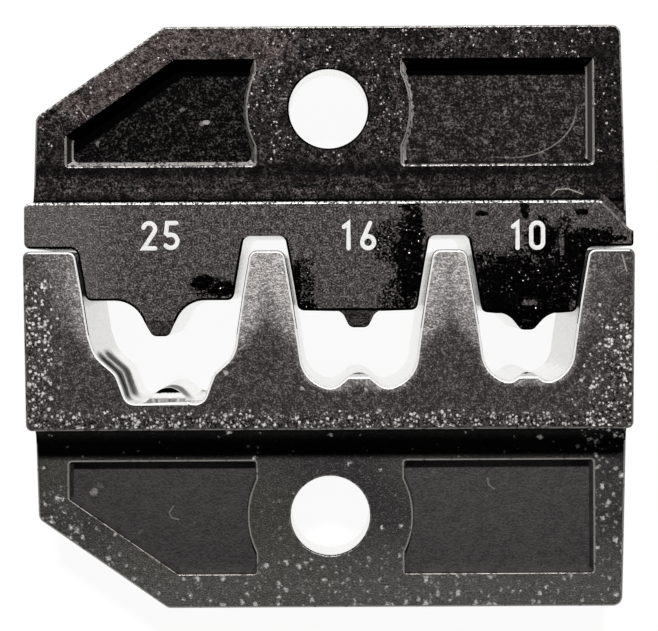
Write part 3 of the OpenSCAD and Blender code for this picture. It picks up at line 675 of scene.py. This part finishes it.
def lapped_steel_painted_reflections():
    """Lapped steel with two dull dark streaks of painted reflection, and painted shade on the ridge."""
    material, tree, mm = new_material("lapped_steel_with_painted_reflections")
    x, y, z = add(tree, "SeparateXYZ", (mm,), None).outputs
    wave = add(tree, "TexNoise", (mm, 2.0, 1 / REFLECTION_WAVE_WIDTH, 2.0), **NOISE)
    level = add(tree, "Math", (add(tree, "Math", (wave, 2.0, z), **TIMES_PLUS), 1.0), **MINUS)
    reflection_and_shade = None
    for height, half, share in REFLECTION_STREAKS:
        streak = add(tree, "MapRange", (away_from(tree, level, height), half, 0.0, 0.0, share), **SOFT)
        reflection_and_shade = streak if reflection_and_shade is None else add(tree, "Math", (reflection_and_shade, streak), **LARGER)
    for start, end in (STREAK_TOP_Y, STREAK_FOOT_Y):
        reflection_and_shade = add(tree, "Math", (reflection_and_shade, add(tree, "MapRange", (y, start, end), **SOFT)), **TIMES)
    reflection_and_shade = add(tree, "Math", (reflection_and_shade, add(tree, "MapRange", (x, *STREAK_END_X))), **TIMES)
    ridge_shade = add(tree, "MapRange", (away_from(tree, x, RIDGE_SHADE_X), 1.0, 0.2, 0.0, 0.6), **SOFT)
    high = add(tree, "MapRange", (away_from(tree, z, RIDGE_SHADE_Z), 2.6, 0.4), **SOFT)
    reflection_and_shade = add(tree, "Math", (reflection_and_shade, add(tree, "Math", (ridge_shade, high), **TIMES)), **LARGER)
    # The streaks are painted reflections, and the darkening on the ridge is painted shade
    colour = painted(tree, lapped_colour(tree, mm), (reflection_and_shade, linear("#171513")))
    # Where painted reflection and shade lie, the metal goes early, so that they stay dull where they are thin
    metallic = add(tree, "MapRange", (reflection_and_shade, 0.0, 0.4, 1.0, 0.0))
    shaded(tree, colour, roughness=0.2, height=wave, depth=0.002, metallic=metallic, gloss=0.0)
    return material


# Heights along y on the ridges' sloping ends, each as where a shade begins and where it is full: the black
# crown of the widest nest's ridge and its grey foot, both below the first pair, and the crowns of the others.
# The black of the crowns is painted shade.
BELOW_NARROW_Y = (-3.5, -3.6)
WIDE_CROWN_Y, WIDE_FOOT_Y = (-4.06, -3.99), (-4.24, -4.34)
NARROW_CROWN_Y = (-3.05, -3.0)


def ridge_end_steel():
    """The sloping end of a nest's ridge, polished: a black crown of painted shade, a pale slope, a grey foot.
    """
    material, tree, mm = new_material("polished_steel_ridge_end")
    y = add(tree, "SeparateXYZ", (mm,), "Y")
    streaks = add(tree, "VectorMath", (mm, (1.0, 0.2, 0.2)), **TIMES)
    streaks = add(tree, "TexNoise", (streaks, 3.0, 1 / POLISH_LINE_WIDTH, 2.0), **NOISE)
    wave = add(tree, "Math", (streaks, 0.16, y), **TIMES_PLUS)
    # Painted shade: the crowns go black
    crown = add(tree, "MapRange", (wave, *WIDE_CROWN_Y), **SOFT)
    crown = add(tree, "Math", (crown, add(tree, "MapRange", (y, *BELOW_NARROW_Y))), **TIMES)
    crown = add(tree, "Math", (crown, add(tree, "MapRange", (wave, *NARROW_CROWN_Y), **SOFT)), **LARGER)
    foot = add(tree, "MapRange", (wave, *WIDE_FOOT_Y), **SOFT)
    foot = add(tree, "Math", (foot, add(tree, "MapRange", (streaks, 0.3, 0.6, 0.4, 1.0))), **TIMES)
    colour = painted(tree, linear("#f7f5f3"), (foot, linear("#6f6b69")), (crown, linear("#040404")))
    shaded(tree, colour, roughness=0.4, height=streaks, depth=0.001, metallic=0.0, gloss=0.0)
    return material


def foot_wall_steel():
    """Outer wall of an upper pocket, blackened and oiled, darker on the left, and rubbed pale at its foot."""
    material, tree, mm = new_material("oily_steel_wall_with_rubbed_foot")
    x, _, z = add(tree, "SeparateXYZ", (mm,), None).outputs
    floor = FLANGE_HALF_T - POCKET_DEPTH
    foot = add(tree, "MapRange", (away_from(tree, z, MID), floor + 0.4, floor + 0.2), **SOFT)
    streaks = add(tree, "TexNoise", (mm, 3.0, 1 / WALL_STREAK_WIDTH, 2.0), **NOISE)
    on_right = add(tree, "MapRange", (x, -1.0, 1.0))
    colour = painted(tree, linear("#2b2928"), (on_right, linear("#55514f")), (foot, linear("#dedad6")))
    shaded(tree, colour, roughness=0.4, height=streaks, depth=0.002, metallic=0.0, gloss=0.1)
    return material


# Steel that is rubbed bare in stretches and blackened between them, on rounded outlines and pocket walls.
# Some of them are partly painted highlight or painted shade, as said below.
# Each has a material's name, the colours of bare steel and oxide, how much of its length is bare, how long a
# bare stretch is in mm, and where oxide or oil hides the metal, how metallic and how glossy it still looks.
WORN_STEELS = {
    # The rim of the nests and teeth: an almost unbroken bright line, partly painted highlight
    "bright": ("rubbed_steel_rim_and_highlight", "#fbfaf8", "#b5b2ae", 0.92, 0.25, 0.25),
    # The upper bar's edge over its flange: a bright line broken by black, partly painted highlight
    "broken": ("broken_rubbed_edge_and_highlight", "#f4f2ef", "#1c1b1a", 0.55, 0.13, 0.25),
    # The upper flange's free edge: soft light grey
    "free": ("tumbled_steel_edge", "#b3b0ab", "#5c5956", 0.6, 0.25, 0.5),
    # Other outlines that show: barely lighter than the skin
    "soft": ("softly_rubbed_steel_edge", "#7d7976", "#4a4746", 0.6, 0.3),
    # Outlines painted black as shade, most of them rounds that turn away from the lamp
    "black": ("steel_edge_painted_shade", "#0b0a0a", "#030303", 0.2, 0.3, 0.0, 0.0),
    # Side lips of the pockets: a thin grey line
    "lip": ("rubbed_steel_lip", "#9c9995", "#5c5956", 0.75, 0.25, 0.7),
    # Lower lips of the upper pockets, facing the lamp: a dotted pale line, partly painted highlight
    "jagged": ("jagged_steel_lip_and_highlight", "#c9c5c1", "#3a3736", 0.5, 0.14, 0.3, 0.3),
    # Walls of the upper pockets that were chipped in tumbling: pale with dark nicks
    "chipped": ("chipped_steel_wall", "#e6e2de", "#4a4745", 0.62, 0.16, 0.1, 0.2),
    # The wall of the upper left pocket beside the hole: rubbed grey
    "pale_wall": ("rubbed_steel_wall", "#77746f", "#454240", 0.6, 0.2, 0.1),
    # Walls painted near black: painted shade, as most of them turn away from the lamp
    "dark_wall": ("steel_wall_painted_shade", "#161514", "#0a0909", 0.3, 0.3),
    # The other walls of the lower pockets: as grey as the floor
    "shady_wall": ("blackened_steel_wall", "#524f4f", "#3c3a39", 0.6, 0.3, 0.2, 0.3),
}


def worn_steel(name, bare, oxide, share, width, metallic=1.0, gloss=0.5):
    """Steel that is rubbed bare in stretches, as WORN_STEELS describes it."""
    material, tree, mm = new_material(name)
    # The stretches run the full height of a wall, as tumbling rubs them
    along = add(tree, "VectorMath", (mm, (1.0, 1.0, 0.1)), **TIMES)
    lumps = add(tree, "TexNoise", (along, 3.0, 1 / width, 3.0), **NOISE)
    limit = 0.5 + (0.5 - share) * 0.5
    rubbed = add(tree, "MapRange", (lumps, limit - 0.04, limit + 0.04), **SOFT)
    colour = painted(tree, linear(oxide), (rubbed, linear(bare)))
    grain = add(tree, "TexNoise", (mm, 1.0, 1 / FINE_GRAIN_WIDTH, 2.0), **NOISE)
    shaded(tree, colour, roughness=0.38, height=grain, depth=0.006, metallic=metallic, gloss=gloss)
    return material


def number_ink():
    """Screen-printed epoxy ink: flat white, slightly rough, and greyer where it is thin."""
    material, tree, mm = new_material("white_epoxy_ink")
    tone = add(tree, "TexNoise", (mm, 1.0, 1 / FINE_GRAIN_WIDTH, 2.0), **NOISE)
    thin = add(tree, "MapRange", (tone, 0.45, 0.3), **SOFT)
    colour = painted(tree, linear(bpy.context.scene.crimp_marks.ink), (thin, linear("#d2d1ce")))
    shaded(tree, colour, roughness=0.55, height=tone, depth=0.002, metallic=0.0)
    return material


# Angles between faces in degrees: under FLAT they are made one, over OUTLINE their edge may be rounded, and
# over SHARP it stays sharp to the eye
FLAT, OUTLINE, SHARP = 0.6, 28, 50
# Corners nearer to each other than WELD are made one, and an edge is in a level within LEVEL_SLACK, in mm
WELD, LEVEL_SLACK = 2e-4, 0.002
# The flanges are rounded less than the bars
FLANGE_ROUND = 0.8


def level_with(edge, levels):
    """True for an edge that lies in one of some flat levels."""
    return any(all(abs(v.co.z - z) < LEVEL_SLACK for v in edge.verts) for z in levels)


def on_outline(edge, levels):
    """True for an outline's edge: it lies in one of the levels, and its faces turn away from each other."""
    return edge.is_convex and edge.calc_face_angle(0.0) > math.radians(OUTLINE) and level_with(edge, levels)


def round_over(bm, slots, edges, size, finish_at):
    """Rounds some edges, and gives the new faces the finish of their place."""
    made = bmesh.ops.bevel(bm, geom=edges, offset=size, offset_type="OFFSET", segments=2, profile=0.5,
                           affect="EDGES", clamp_overlap=False)["faces"]
    bm.normal_update()
    for face in made:
        face.material_index = slots.index(finish_at(face.normal, face.calc_center_median()))


def dressed_mesh(name, materials, finish_of, edge_of):
    """The half's own solid with rounded edges, and a finish for each face from its place and direction."""
    edge_round = bpy.context.scene.crimp_finish.edge_round / MM
    bm = bmesh.new()
    bm.from_mesh(frame["nodes"][name].data)
    bmesh.ops.scale(bm, vec=(1 / MM,) * 3, verts=bm.verts)
    bmesh.ops.remove_doubles(bm, verts=bm.verts, dist=WELD)
    bmesh.ops.dissolve_limit(bm, angle_limit=math.radians(FLAT), verts=bm.verts, edges=bm.edges)
    slots = list(materials)
    for face in bm.faces:
        face.material_index = slots.index(finish_of(face.normal, face.calc_center_median()))
    for levels, size in ((BAR_LEVELS, edge_round), (FLANGE_LEVELS, edge_round * FLANGE_ROUND)):
        round_over(bm, slots, [edge for edge in bm.edges if on_outline(edge, levels)], size, edge_of)
    for face in bm.faces:
        face.smooth = True
    bmesh.ops.scale(bm, vec=(MM,) * 3, verts=bm.verts)
    mesh = bpy.data.meshes.new(name + "_dressed")
    bm.to_mesh(mesh)
    bm.free()
    for left_over in ("custom_normal", "sharp_edge"):
        if left_over in mesh.attributes:
            mesh.attributes.remove(mesh.attributes[left_over])
    for material in materials.values():
        mesh.materials.append(material)
    mesh.set_sharp_from_angle(angle=math.radians(SHARP))
    return mesh


def show(name, mesh, body):
    """Puts a mesh in the scene as a piece that rides on a body."""
    piece = bpy.data.objects.new(name, mesh)
    bpy.context.scene.collection.objects.link(piece)
    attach(piece, body)
    return piece


def flat_normals(piece):
    """Keeps the large faces flat to the eye beside their rounded outlines."""
    weighted = piece.modifiers.new("flat faces", "WEIGHTED_NORMAL")
    weighted.mode = "FACE_AREA"
    weighted.keep_sharp = True


SHARED = {}


def shared_materials():
    """Finishes that both halves may have, made once."""
    if not SHARED:
        SHARED["ground"] = lapped_steel()
        SHARED["foot_wall"] = foot_wall_steel()
        for finish, looks in WORN_STEELS.items():
            SHARED[finish] = worn_steel(*looks)
    return SHARED


def sunk(centre):
    """How far a place is below the face of its flange, in mm. It is less than 0 on the bars."""
    return FLANGE_HALF_T - abs(centre.z - MID)


# A place is on a flange, or a little way down in a pocket, where it is sunk more than these
ON_FLANGE, IN_POCKET = -0.01, 0.1
# How much of a face's direction is along z where it looks at the camera or away from it, at least, and where
# it is an upright wall, at most. Then how much is along y where a rounded outline turns that way, at least.
FACING, UPRIGHT, TURNED = 0.9, 0.1, 0.25
# The ground walls of nests and punches are at least this far from a bar's seat and from its ends, in mm
BESIDE_SEAT, END_FACE = 0.4, 0.5
# A rounded outline reaches less far in from it than EDGE_ZONE, and the pockets begin past the fillets
EDGE_ZONE, PAST_FILLET = 0.3, 1.3


def on_pocket_wall(centre):
    """True where the middle of a face is partway down a pocket."""
    return IN_POCKET < sunk(centre) < POCKET_DEPTH - 0.2


def in_hole(centre):
    """True on the wall of a screw hole."""
    return any(math.hypot(centre.x - x, centre.y - y) < HOLE_REACH for x, y in HOLES)


def level_finish(centre, bar):
    """Name of the finish of a face that looks at the camera or away from it. bar says if it is on a bar."""
    if bar and sunk(centre) < ON_FLANGE:
        return "bar"
    return "flange" if sunk(centre) < IN_POCKET else "pocket"


# Limits on the upper half: the fillet's radius, how far out its pockets' outer walls are, where its clipped
# corner ends, and the sloping end of its widest punch: height, and how far right it goes
FILLET_R = 1.0
OUTER_WALL_X = 7.2
CLIP_FOOT_Y = 4.45
PUNCH_SLOPE_Y, PUNCH_SLOPE_X = -0.23, 0.26


def upper_wall_finish(normal, centre):
    """Name of the finish of a wall of an upper pocket."""
    sideways = abs(normal.x) > 0.8
    if sideways and centre.x * normal.x < 0 and abs(centre.x) > OUTER_WALL_X:
        return "foot_wall"
    if normal.y > 0.5 and centre.x < 0 and centre.z > MID:
        return "chipped"
    # Other walls are painted near black, shade for those turned from the lamp
    if not sideways:
        return "dark_wall"
    return "pale_wall" if centre.x < 0 else "chipped"


def upper_finish(normal, centre):
    """Name of the finish of a face on the upper half."""
    bar = centre.y < UPPER_SEAT_Y + 0.01
    if abs(normal.z) > FACING:
        return level_finish(centre, bar)
    if in_hole(centre):
        return "ground"
    if centre.y < UPPER_SEAT_Y - BESIDE_SEAT and abs(centre.x) < BAR_HALF_W - END_FACE:
        return "ground" if abs(normal.z) < UPRIGHT else "bar"
    if on_pocket_wall(centre) and centre.y > UPPER_SEAT_Y + PAST_FILLET:
        return upper_wall_finish(normal, centre)
    in_fillet = -FILLET_R - 0.1 < sunk(centre) < IN_POCKET and 0.05 < abs(normal.z)
    return "bar" if bar and not in_fillet else "flange"


def upper_edge(normal, centre):
    """Name of the finish of a rounded outline on the upper half."""
    if sunk(centre) < ON_FLANGE:
        if centre.y > UPPER_SEAT_Y - 0.2:
            return "broken"
        if centre.x < EDGE_ZONE - BAR_HALF_W or centre.y > CLIP_FOOT_Y:
            return "soft"
        on_slope = abs(centre.y - PUNCH_SLOPE_Y) < 0.15 and abs(normal.x) < 0.2 and centre.x < PUNCH_SLOPE_X
        # The bar's other outlines get black: painted shade where they round away from the lamp
        return "bar" if on_slope else "black"
    if centre.y > UPPER_TOP_Y - EDGE_ZONE:
        return "free"
    # Black on rounds turned away from the lamp is painted shade
    if in_hole(centre) or normal.y < -TURNED:
        return "black"
    return "jagged" if normal.y > TURNED else "lip"


# Heights on the lower half: the widest nest's floor is below the first, and guide flanks are above the second
WIDE_FLOOR_Y = -3.6
GUIDE_FLANK_Y = -0.9


def lower_finish(normal, centre):
    """Name of the finish of a face on the lower half."""
    bar = centre.y > LOWER_SEAT_Y - 0.01
    if abs(normal.z) > FACING:
        return level_finish(centre, bar)
    if in_hole(centre):
        return "ground"
    if centre.y > LOWER_SEAT_Y + BESIDE_SEAT and abs(centre.x) < BAR_HALF_W - END_FACE:
        if abs(normal.z) > UPRIGHT:
            return "ridge_end"
        # The widest nest's lower left wall and its ridge get painted reflection and painted shade
        on_streak = centre.x < REFLECTION_WALL_X and centre.y < REFLECTION_WALL_Y
        on_ridge = abs(centre.x - RIDGE_X) < RIDGE_HALF_W and centre.y < WIDE_FLOOR_Y and normal.y > 0.3
        return "reflection_and_shade" if on_streak or on_ridge else "ground"
    if on_pocket_wall(centre) and centre.y < LOWER_SEAT_Y - PAST_FILLET:
        # Walls that face away from the lamp are painted near black as shade
        return "dark_wall" if normal.y < -0.5 else "shady_wall"
    return "bar" if bar else "flange"


def lower_edge(normal, centre):
    """Name of the finish of a rounded outline on the lower half."""
    if sunk(centre) < ON_FLANGE:
        inside = abs(centre.x) < BAR_HALF_W - EDGE_ZONE and centre.y > LOWER_SEAT_Y + BESIDE_SEAT
        if inside and centre.y > GUIDE_FLANK_Y and abs(normal.z) < 0.6:
            # The guide flanks' rounds get black: painted shade
            return "black"
        return "bright" if inside else "soft"
    return "soft" if in_hole(centre) or normal.y > TURNED else "lip"


class CRIMPDIE_OT_upper_half(bpy.types.Operator):
    """Dresses the half with the punches."""

    bl_idname = "crimpdie.upper_half"
    bl_label = "Upper half"

    def execute(self, context):
        pocket = pocket_steel(
            "pressed_steel_pocket_upper", left="#090808", right="#242121", dark=0.85,
            marks=upper_pocket_marks)
        materials = {
            "bar": upper_bar_steel(),
            "flange": upper_flange_steel(),
            "pocket": pocket,
            **shared_materials(),
        }
        mesh = dressed_mesh(UPPER, materials, upper_finish, upper_edge)
        piece = show("upper_die_steel", mesh, "upper_half")
        flat_normals(piece)
        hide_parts(UPPER)
        return {"FINISHED"}


class CRIMPDIE_OT_lower_half(bpy.types.Operator):
    """Dresses the half with the nests."""

    bl_idname = "crimpdie.lower_half"
    bl_label = "Lower half"

    def execute(self, context):
        pocket = pocket_steel(
            "pressed_steel_pocket_lower", left="#4e4b4b", right="#524f4f", dark=0.35,
            marks=lower_pocket_marks)
        materials = {
            "bar": lower_bar_steel(),
            "flange": lower_flange_steel(),
            "ridge_end": ridge_end_steel(),
            "reflection_and_shade": lapped_steel_painted_reflections(),
            "pocket": pocket,
            **shared_materials(),
        }
        mesh = dressed_mesh(LOWER, materials, lower_finish, lower_edge)
        piece = show("lower_die_steel", mesh, "lower_half")
        flat_normals(piece)
        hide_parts(LOWER)
        return {"FINISHED"}


def arc(centre, radius, start, end, steps=14):
    """Points on a circle from one angle to another, in degrees."""
    angles = [math.radians(start + (end - start) * i / steps) for i in range(steps + 1)]
    return [(centre[0] + radius * math.cos(a), centre[1] + radius * math.sin(a)) for a in angles]


def digit_lines(height):
    """The digits of the size numbers, as high as height: width, centre line, and whether it is closed."""
    bowl = 0.235 * height
    top = height - bowl
    flag = 0.18 * height
    stem = bowl + flag / 2
    zero = arc((bowl, top), bowl, 0, 180) + arc((bowl, bowl), bowl, 180, 360)
    one = [(stem - flag, height * 0.85), (stem, height), (stem, 0)]
    two = arc((bowl, top), bowl, 165, -32) + [(0, 0), (2 * bowl, 0)]
    five = [(1.9 * bowl, height), (0.35 * bowl, height), (0.15 * bowl, height * 0.60)]
    five += arc((0.95 * bowl, 1.18 * bowl), 1.12 * bowl, 132, -140)[1:]
    six = [(1.35 * bowl, height), (0.12 * bowl, 1.5 * bowl)] + arc((bowl, bowl), bowl, 160, 520, 28)
    return {
        "0": (2 * bowl, zero, True),
        "1": (2 * bowl, one, False),
        "2": (2 * bowl, two, False),
        "5": (2.05 * bowl, five, False),
        "6": (2 * bowl, six, False),
    }


# Angles in degrees at which a printed line's domed section, and its round ends, have their corners
DOME_ANGLES = [math.radians(angle) for angle in range(0, 181, 30)]
CAP_ANGLES = [math.radians(angle) for angle in (80, 60, 35)]


def stations_along(points, closed, half):
    """Places along a printed line, each with its direction and its half width, which is half on the straight.

    Corners are mitred, so the line is wider there, and the ends of an open line are rounded.
    """
    count = len(points)
    stations = []
    for i, point in enumerate(points):
        before = points[i - 1] if closed or i else point
        after = points[(i + 1) % count] if closed or i < count - 1 else point
        way_in = (point - before).normalized() if point != before else (after - point).normalized()
        way_out = (after - point).normalized() if after != point else way_in
        along = (way_in + way_out).normalized()
        stations.append((point, along, half / max(0.5, along.dot(way_in))))
    if closed:
        return stations
    (first, out_of, _), (last, into, _) = stations[0], stations[-1]
    start = [(first - out_of * half * math.sin(a), out_of, half * math.cos(a)) for a in CAP_ANGLES]
    end = [(last + into * half * math.sin(a), into, half * math.cos(a)) for a in reversed(CAP_ANGLES)]
    return [*start, *stations, *end]


def stroke_mesh(bm, path, closed, half, rise, base):
    """Sweeps a low domed line along a flat path. It stands rise over base and goes as far into it."""
    points = [Vector(p) for p in path]
    if closed:
        points = [p for i, p in enumerate(points) if (p - points[i - 1]).length > 1e-6]
    rings = []
    for point, along, reach in stations_along(points, closed, half):
        side = Vector((-along.y, along.x)) * reach
        top = rise * min(1.0, reach / half)
        ring = [bm.verts.new((*(point + side * math.cos(a)), base + top * math.sin(a))) for a in DOME_ANGLES]
        ring += [bm.verts.new((*corner, base - rise)) for corner in (point - side, point + side)]
        rings.append(ring)
    size = len(rings[0])
    for i in range(len(rings) if closed else len(rings) - 1):
        a, b = rings[i], rings[(i + 1) % len(rings)]
        for k in range(size):
            bm.faces.new((a[k], a[(k + 1) % size], b[(k + 1) % size], b[k]))
    if not closed:
        bm.faces.new(rings[0])
        bm.faces.new(list(reversed(rings[-1])))


# Each size number with the middle of its place on the upper bar, and the gap between its digits, in mm
SIZE_NUMBERS = (("25", (-9.25, 4.56)), ("16", (1.56, 4.51)), ("10", (10.84, 4.48)))
DIGIT_GAP = 0.55


def number_mesh(text, middle, ink):
    """A size number as a film of ink on the upper bar's face, with its middle at a place."""
    marks = bpy.context.scene.crimp_marks
    half = marks.stroke / MM / 2
    height = marks.height / MM
    digits = digit_lines(height - 2 * half)
    left = middle[0] - (sum(digits[d][0] for d in text) + DIGIT_GAP) / 2
    bottom = middle[1] - height / 2 + half
    bm = bmesh.new()
    for d in text:
        width, line, closed = digits[d]
        placed = [(left + x, bottom + y) for x, y in line]
        stroke_mesh(bm, placed, closed, half, marks.film / MM, BAR_LEVELS[1])
        left += width + DIGIT_GAP
    bmesh.ops.recalc_face_normals(bm, faces=bm.faces)
    for face in bm.faces:
        face.smooth = True
    bmesh.ops.scale(bm, vec=(MM,) * 3, verts=bm.verts)
    mesh = bpy.data.meshes.new("size_number_" + text)
    bm.to_mesh(mesh)
    bm.free()
    mesh.materials.append(ink)
    mesh.set_sharp_from_angle(angle=math.radians(SHARP))
    return mesh


class CRIMPDIE_OT_size_numbers(bpy.types.Operator):
    """Prints the plain size numbers on the upper bar."""

    bl_idname = "crimpdie.size_numbers"
    bl_label = "Size numbers"

    def execute(self, context):
        ink = number_ink()
        for text, middle in SIZE_NUMBERS:
            piece = show("size_number_" + text, number_mesh(text, middle, ink), "upper_half")
        return {"FINISHED"}


# The camera: its sensor and lens in mm, how many pixels wide its picture is and how far that is shifted, its
# place over the table in mm, and its turn
SENSOR_MM, LENS_MM = 36, 116.2
PICTURE_PX = 658
SHIFT_PX = (-6, -33.5)
CAMERA_X, CAMERA_Y = 0.33, 1.97
CAMERA_TURN = math.radians(-0.3)
# The sky: how high up it begins to darken and where it is dark, as a share of straight up, and how strong it
# is at the sides and overhead
SKY_HEIGHTS, SKY_STRENGTHS = (0.34, 0.86), (0.95, 0.02)
# The table lies this far under the die in mm, so that the two never meet
TABLE_DROP = 0.02


def laminate():
    """Smooth melamine laminate: plain white to the camera and in mirrors, with the die's faint shadow."""
    material, tree, _ = new_material("white_melamine_laminate")
    glow = add(tree, "Emission", {"Color": (1, 1, 1, 1), "Strength": 0.93})
    faint = add(tree, "BsdfDiffuse", {"Color": (0.09, 0.09, 0.09, 1)})
    seen = add(tree, "AddShader", (glow, faint))
    lit = add(tree, "BsdfDiffuse", {"Color": linear("#e6e6e6")})
    path = add(tree, "LightPath", out=None).outputs
    direct = add(tree, "Math", (path["Is Camera Ray"], path["Is Glossy Ray"]), **LARGER)
    direct = add(tree, "Math", (direct, path["Is Transmission Ray"]), **LARGER)
    surface = add(tree, "MixShader", (direct, lit, seen))
    from_below = add(tree, "NewGeometry", out="Backfacing")
    shown = add(tree, "MixShader", (from_below, surface, add(tree, "BsdfTransparent")))
    add(tree, "OutputMaterial", {"Surface": shown})
    return material


def set_table(side):
    """A flat white table under the die."""
    half, drop = side / 2, -TABLE_DROP * MM
    mesh = bpy.data.meshes.new("table")
    corners = [(-half, -half, drop), (half, -half, drop), (half, half, drop), (-half, half, drop)]
    mesh.from_pydata(corners, [], [(0, 1, 2, 3)])
    mesh.materials.append(laminate())
    table = bpy.data.objects.new("table", mesh)
    bpy.context.scene.collection.objects.link(table)


def set_sky():
    """A white sky that is pale at the sides and dark overhead, so that flat steel doesn't mirror it."""
    world = bpy.data.worlds.new("studio")
    world.use_nodes = True
    tree = world.node_tree
    tree.nodes.clear()
    height = add(tree, "SeparateXYZ", (add(tree, "TexCoord", out="Generated"),), "Z")
    strength = add(tree, "MapRange", (height, *SKY_HEIGHTS, *SKY_STRENGTHS), **SOFT)
    sky = add(tree, "Background", {"Color": (1, 1, 1, 1), "Strength": strength})
    add(tree, "OutputWorld", {"Surface": sky})
    bpy.context.scene.world = world


def set_lamp(tilt, strength, size):
    """One soft lamp, tilted from straight above."""
    lamp = bpy.data.lights.new("softbox", "SUN")
    lamp.energy = strength
    lamp.angle = size
    sun = bpy.data.objects.new("softbox", lamp)
    sun.rotation_euler = (-tilt, 0, 0)
    bpy.context.scene.collection.objects.link(sun)


def set_camera(height):
    """The photograph's camera, which looks straight down."""
    lens = bpy.data.cameras.new("camera")
    lens.sensor_width = SENSOR_MM
    lens.lens = LENS_MM
    lens.shift_x = SHIFT_PX[0] / PICTURE_PX
    lens.shift_y = SHIFT_PX[1] / PICTURE_PX
    lens.clip_start = 0.01
    lens.clip_end = 20
    camera = bpy.data.objects.new("camera", lens)
    camera.location = (CAMERA_X * MM, CAMERA_Y * MM, height)
    camera.rotation_euler = (0, 0, CAMERA_TURN)
    bpy.context.scene.collection.objects.link(camera)
    bpy.context.scene.camera = camera


class CRIMPDIE_OT_stage(bpy.types.Operator):
    """Sets the table, the light and the camera."""

    bl_idname = "crimpdie.stage"
    bl_label = "Table, light and camera"

    def execute(self, context):
        stage = context.scene.crimp_stage
        context.scene.view_settings.view_transform = "Standard"
        set_table(stage.table)
        set_sky()
        set_lamp(stage.sun_tilt, stage.sun_strength, stage.sun_size)
        set_camera(stage.camera_height)
        return {"FINISHED"}


OPERATORS = (
    CRIMPDIE_OT_stage,
    CRIMPDIE_OT_upper_half,
    CRIMPDIE_OT_lower_half,
    CRIMPDIE_OT_size_numbers,
)


class CRIMPDIE_PT_panel(bpy.types.Panel):
    """Lists the settings, and the steps that dress the die."""

    bl_idname = "CRIMPDIE_PT_panel"
    bl_label = "Crimp Die"
    bl_space_type = "VIEW_3D"
    bl_region_type = "UI"
    bl_category = "Crimp Die"

    def draw(self, context):
        scene = context.scene
        for group in (scene.crimp_finish, scene.crimp_marks, scene.crimp_stage):
            for name in group.__annotations__:
                self.layout.prop(group, name)
        for operator in OPERATORS:
            self.layout.operator(operator.bl_idname)


CLASSES = (CrimpDieFinish, CrimpDieMarks, CrimpDieStage, *OPERATORS, CRIMPDIE_PT_panel)


def register():
    for made in CLASSES:
        bpy.utils.register_class(made)
    bpy.types.Scene.crimp_finish = bpy.props.PointerProperty(type=CrimpDieFinish)
    bpy.types.Scene.crimp_marks = bpy.props.PointerProperty(type=CrimpDieMarks)
    bpy.types.Scene.crimp_stage = bpy.props.PointerProperty(type=CrimpDieStage)


def unregister():
    del bpy.types.Scene.crimp_stage
    del bpy.types.Scene.crimp_marks
    del bpy.types.Scene.crimp_finish
    for made in reversed(CLASSES):
        bpy.utils.unregister_class(made)


def main():
    """Runs every step in order."""
    register()
    bpy.ops.crimpdie.stage()
    bpy.ops.crimpdie.upper_half()
    bpy.ops.crimpdie.lower_half()
    bpy.ops.crimpdie.size_numbers()


if __name__ == "__main__":
    main()
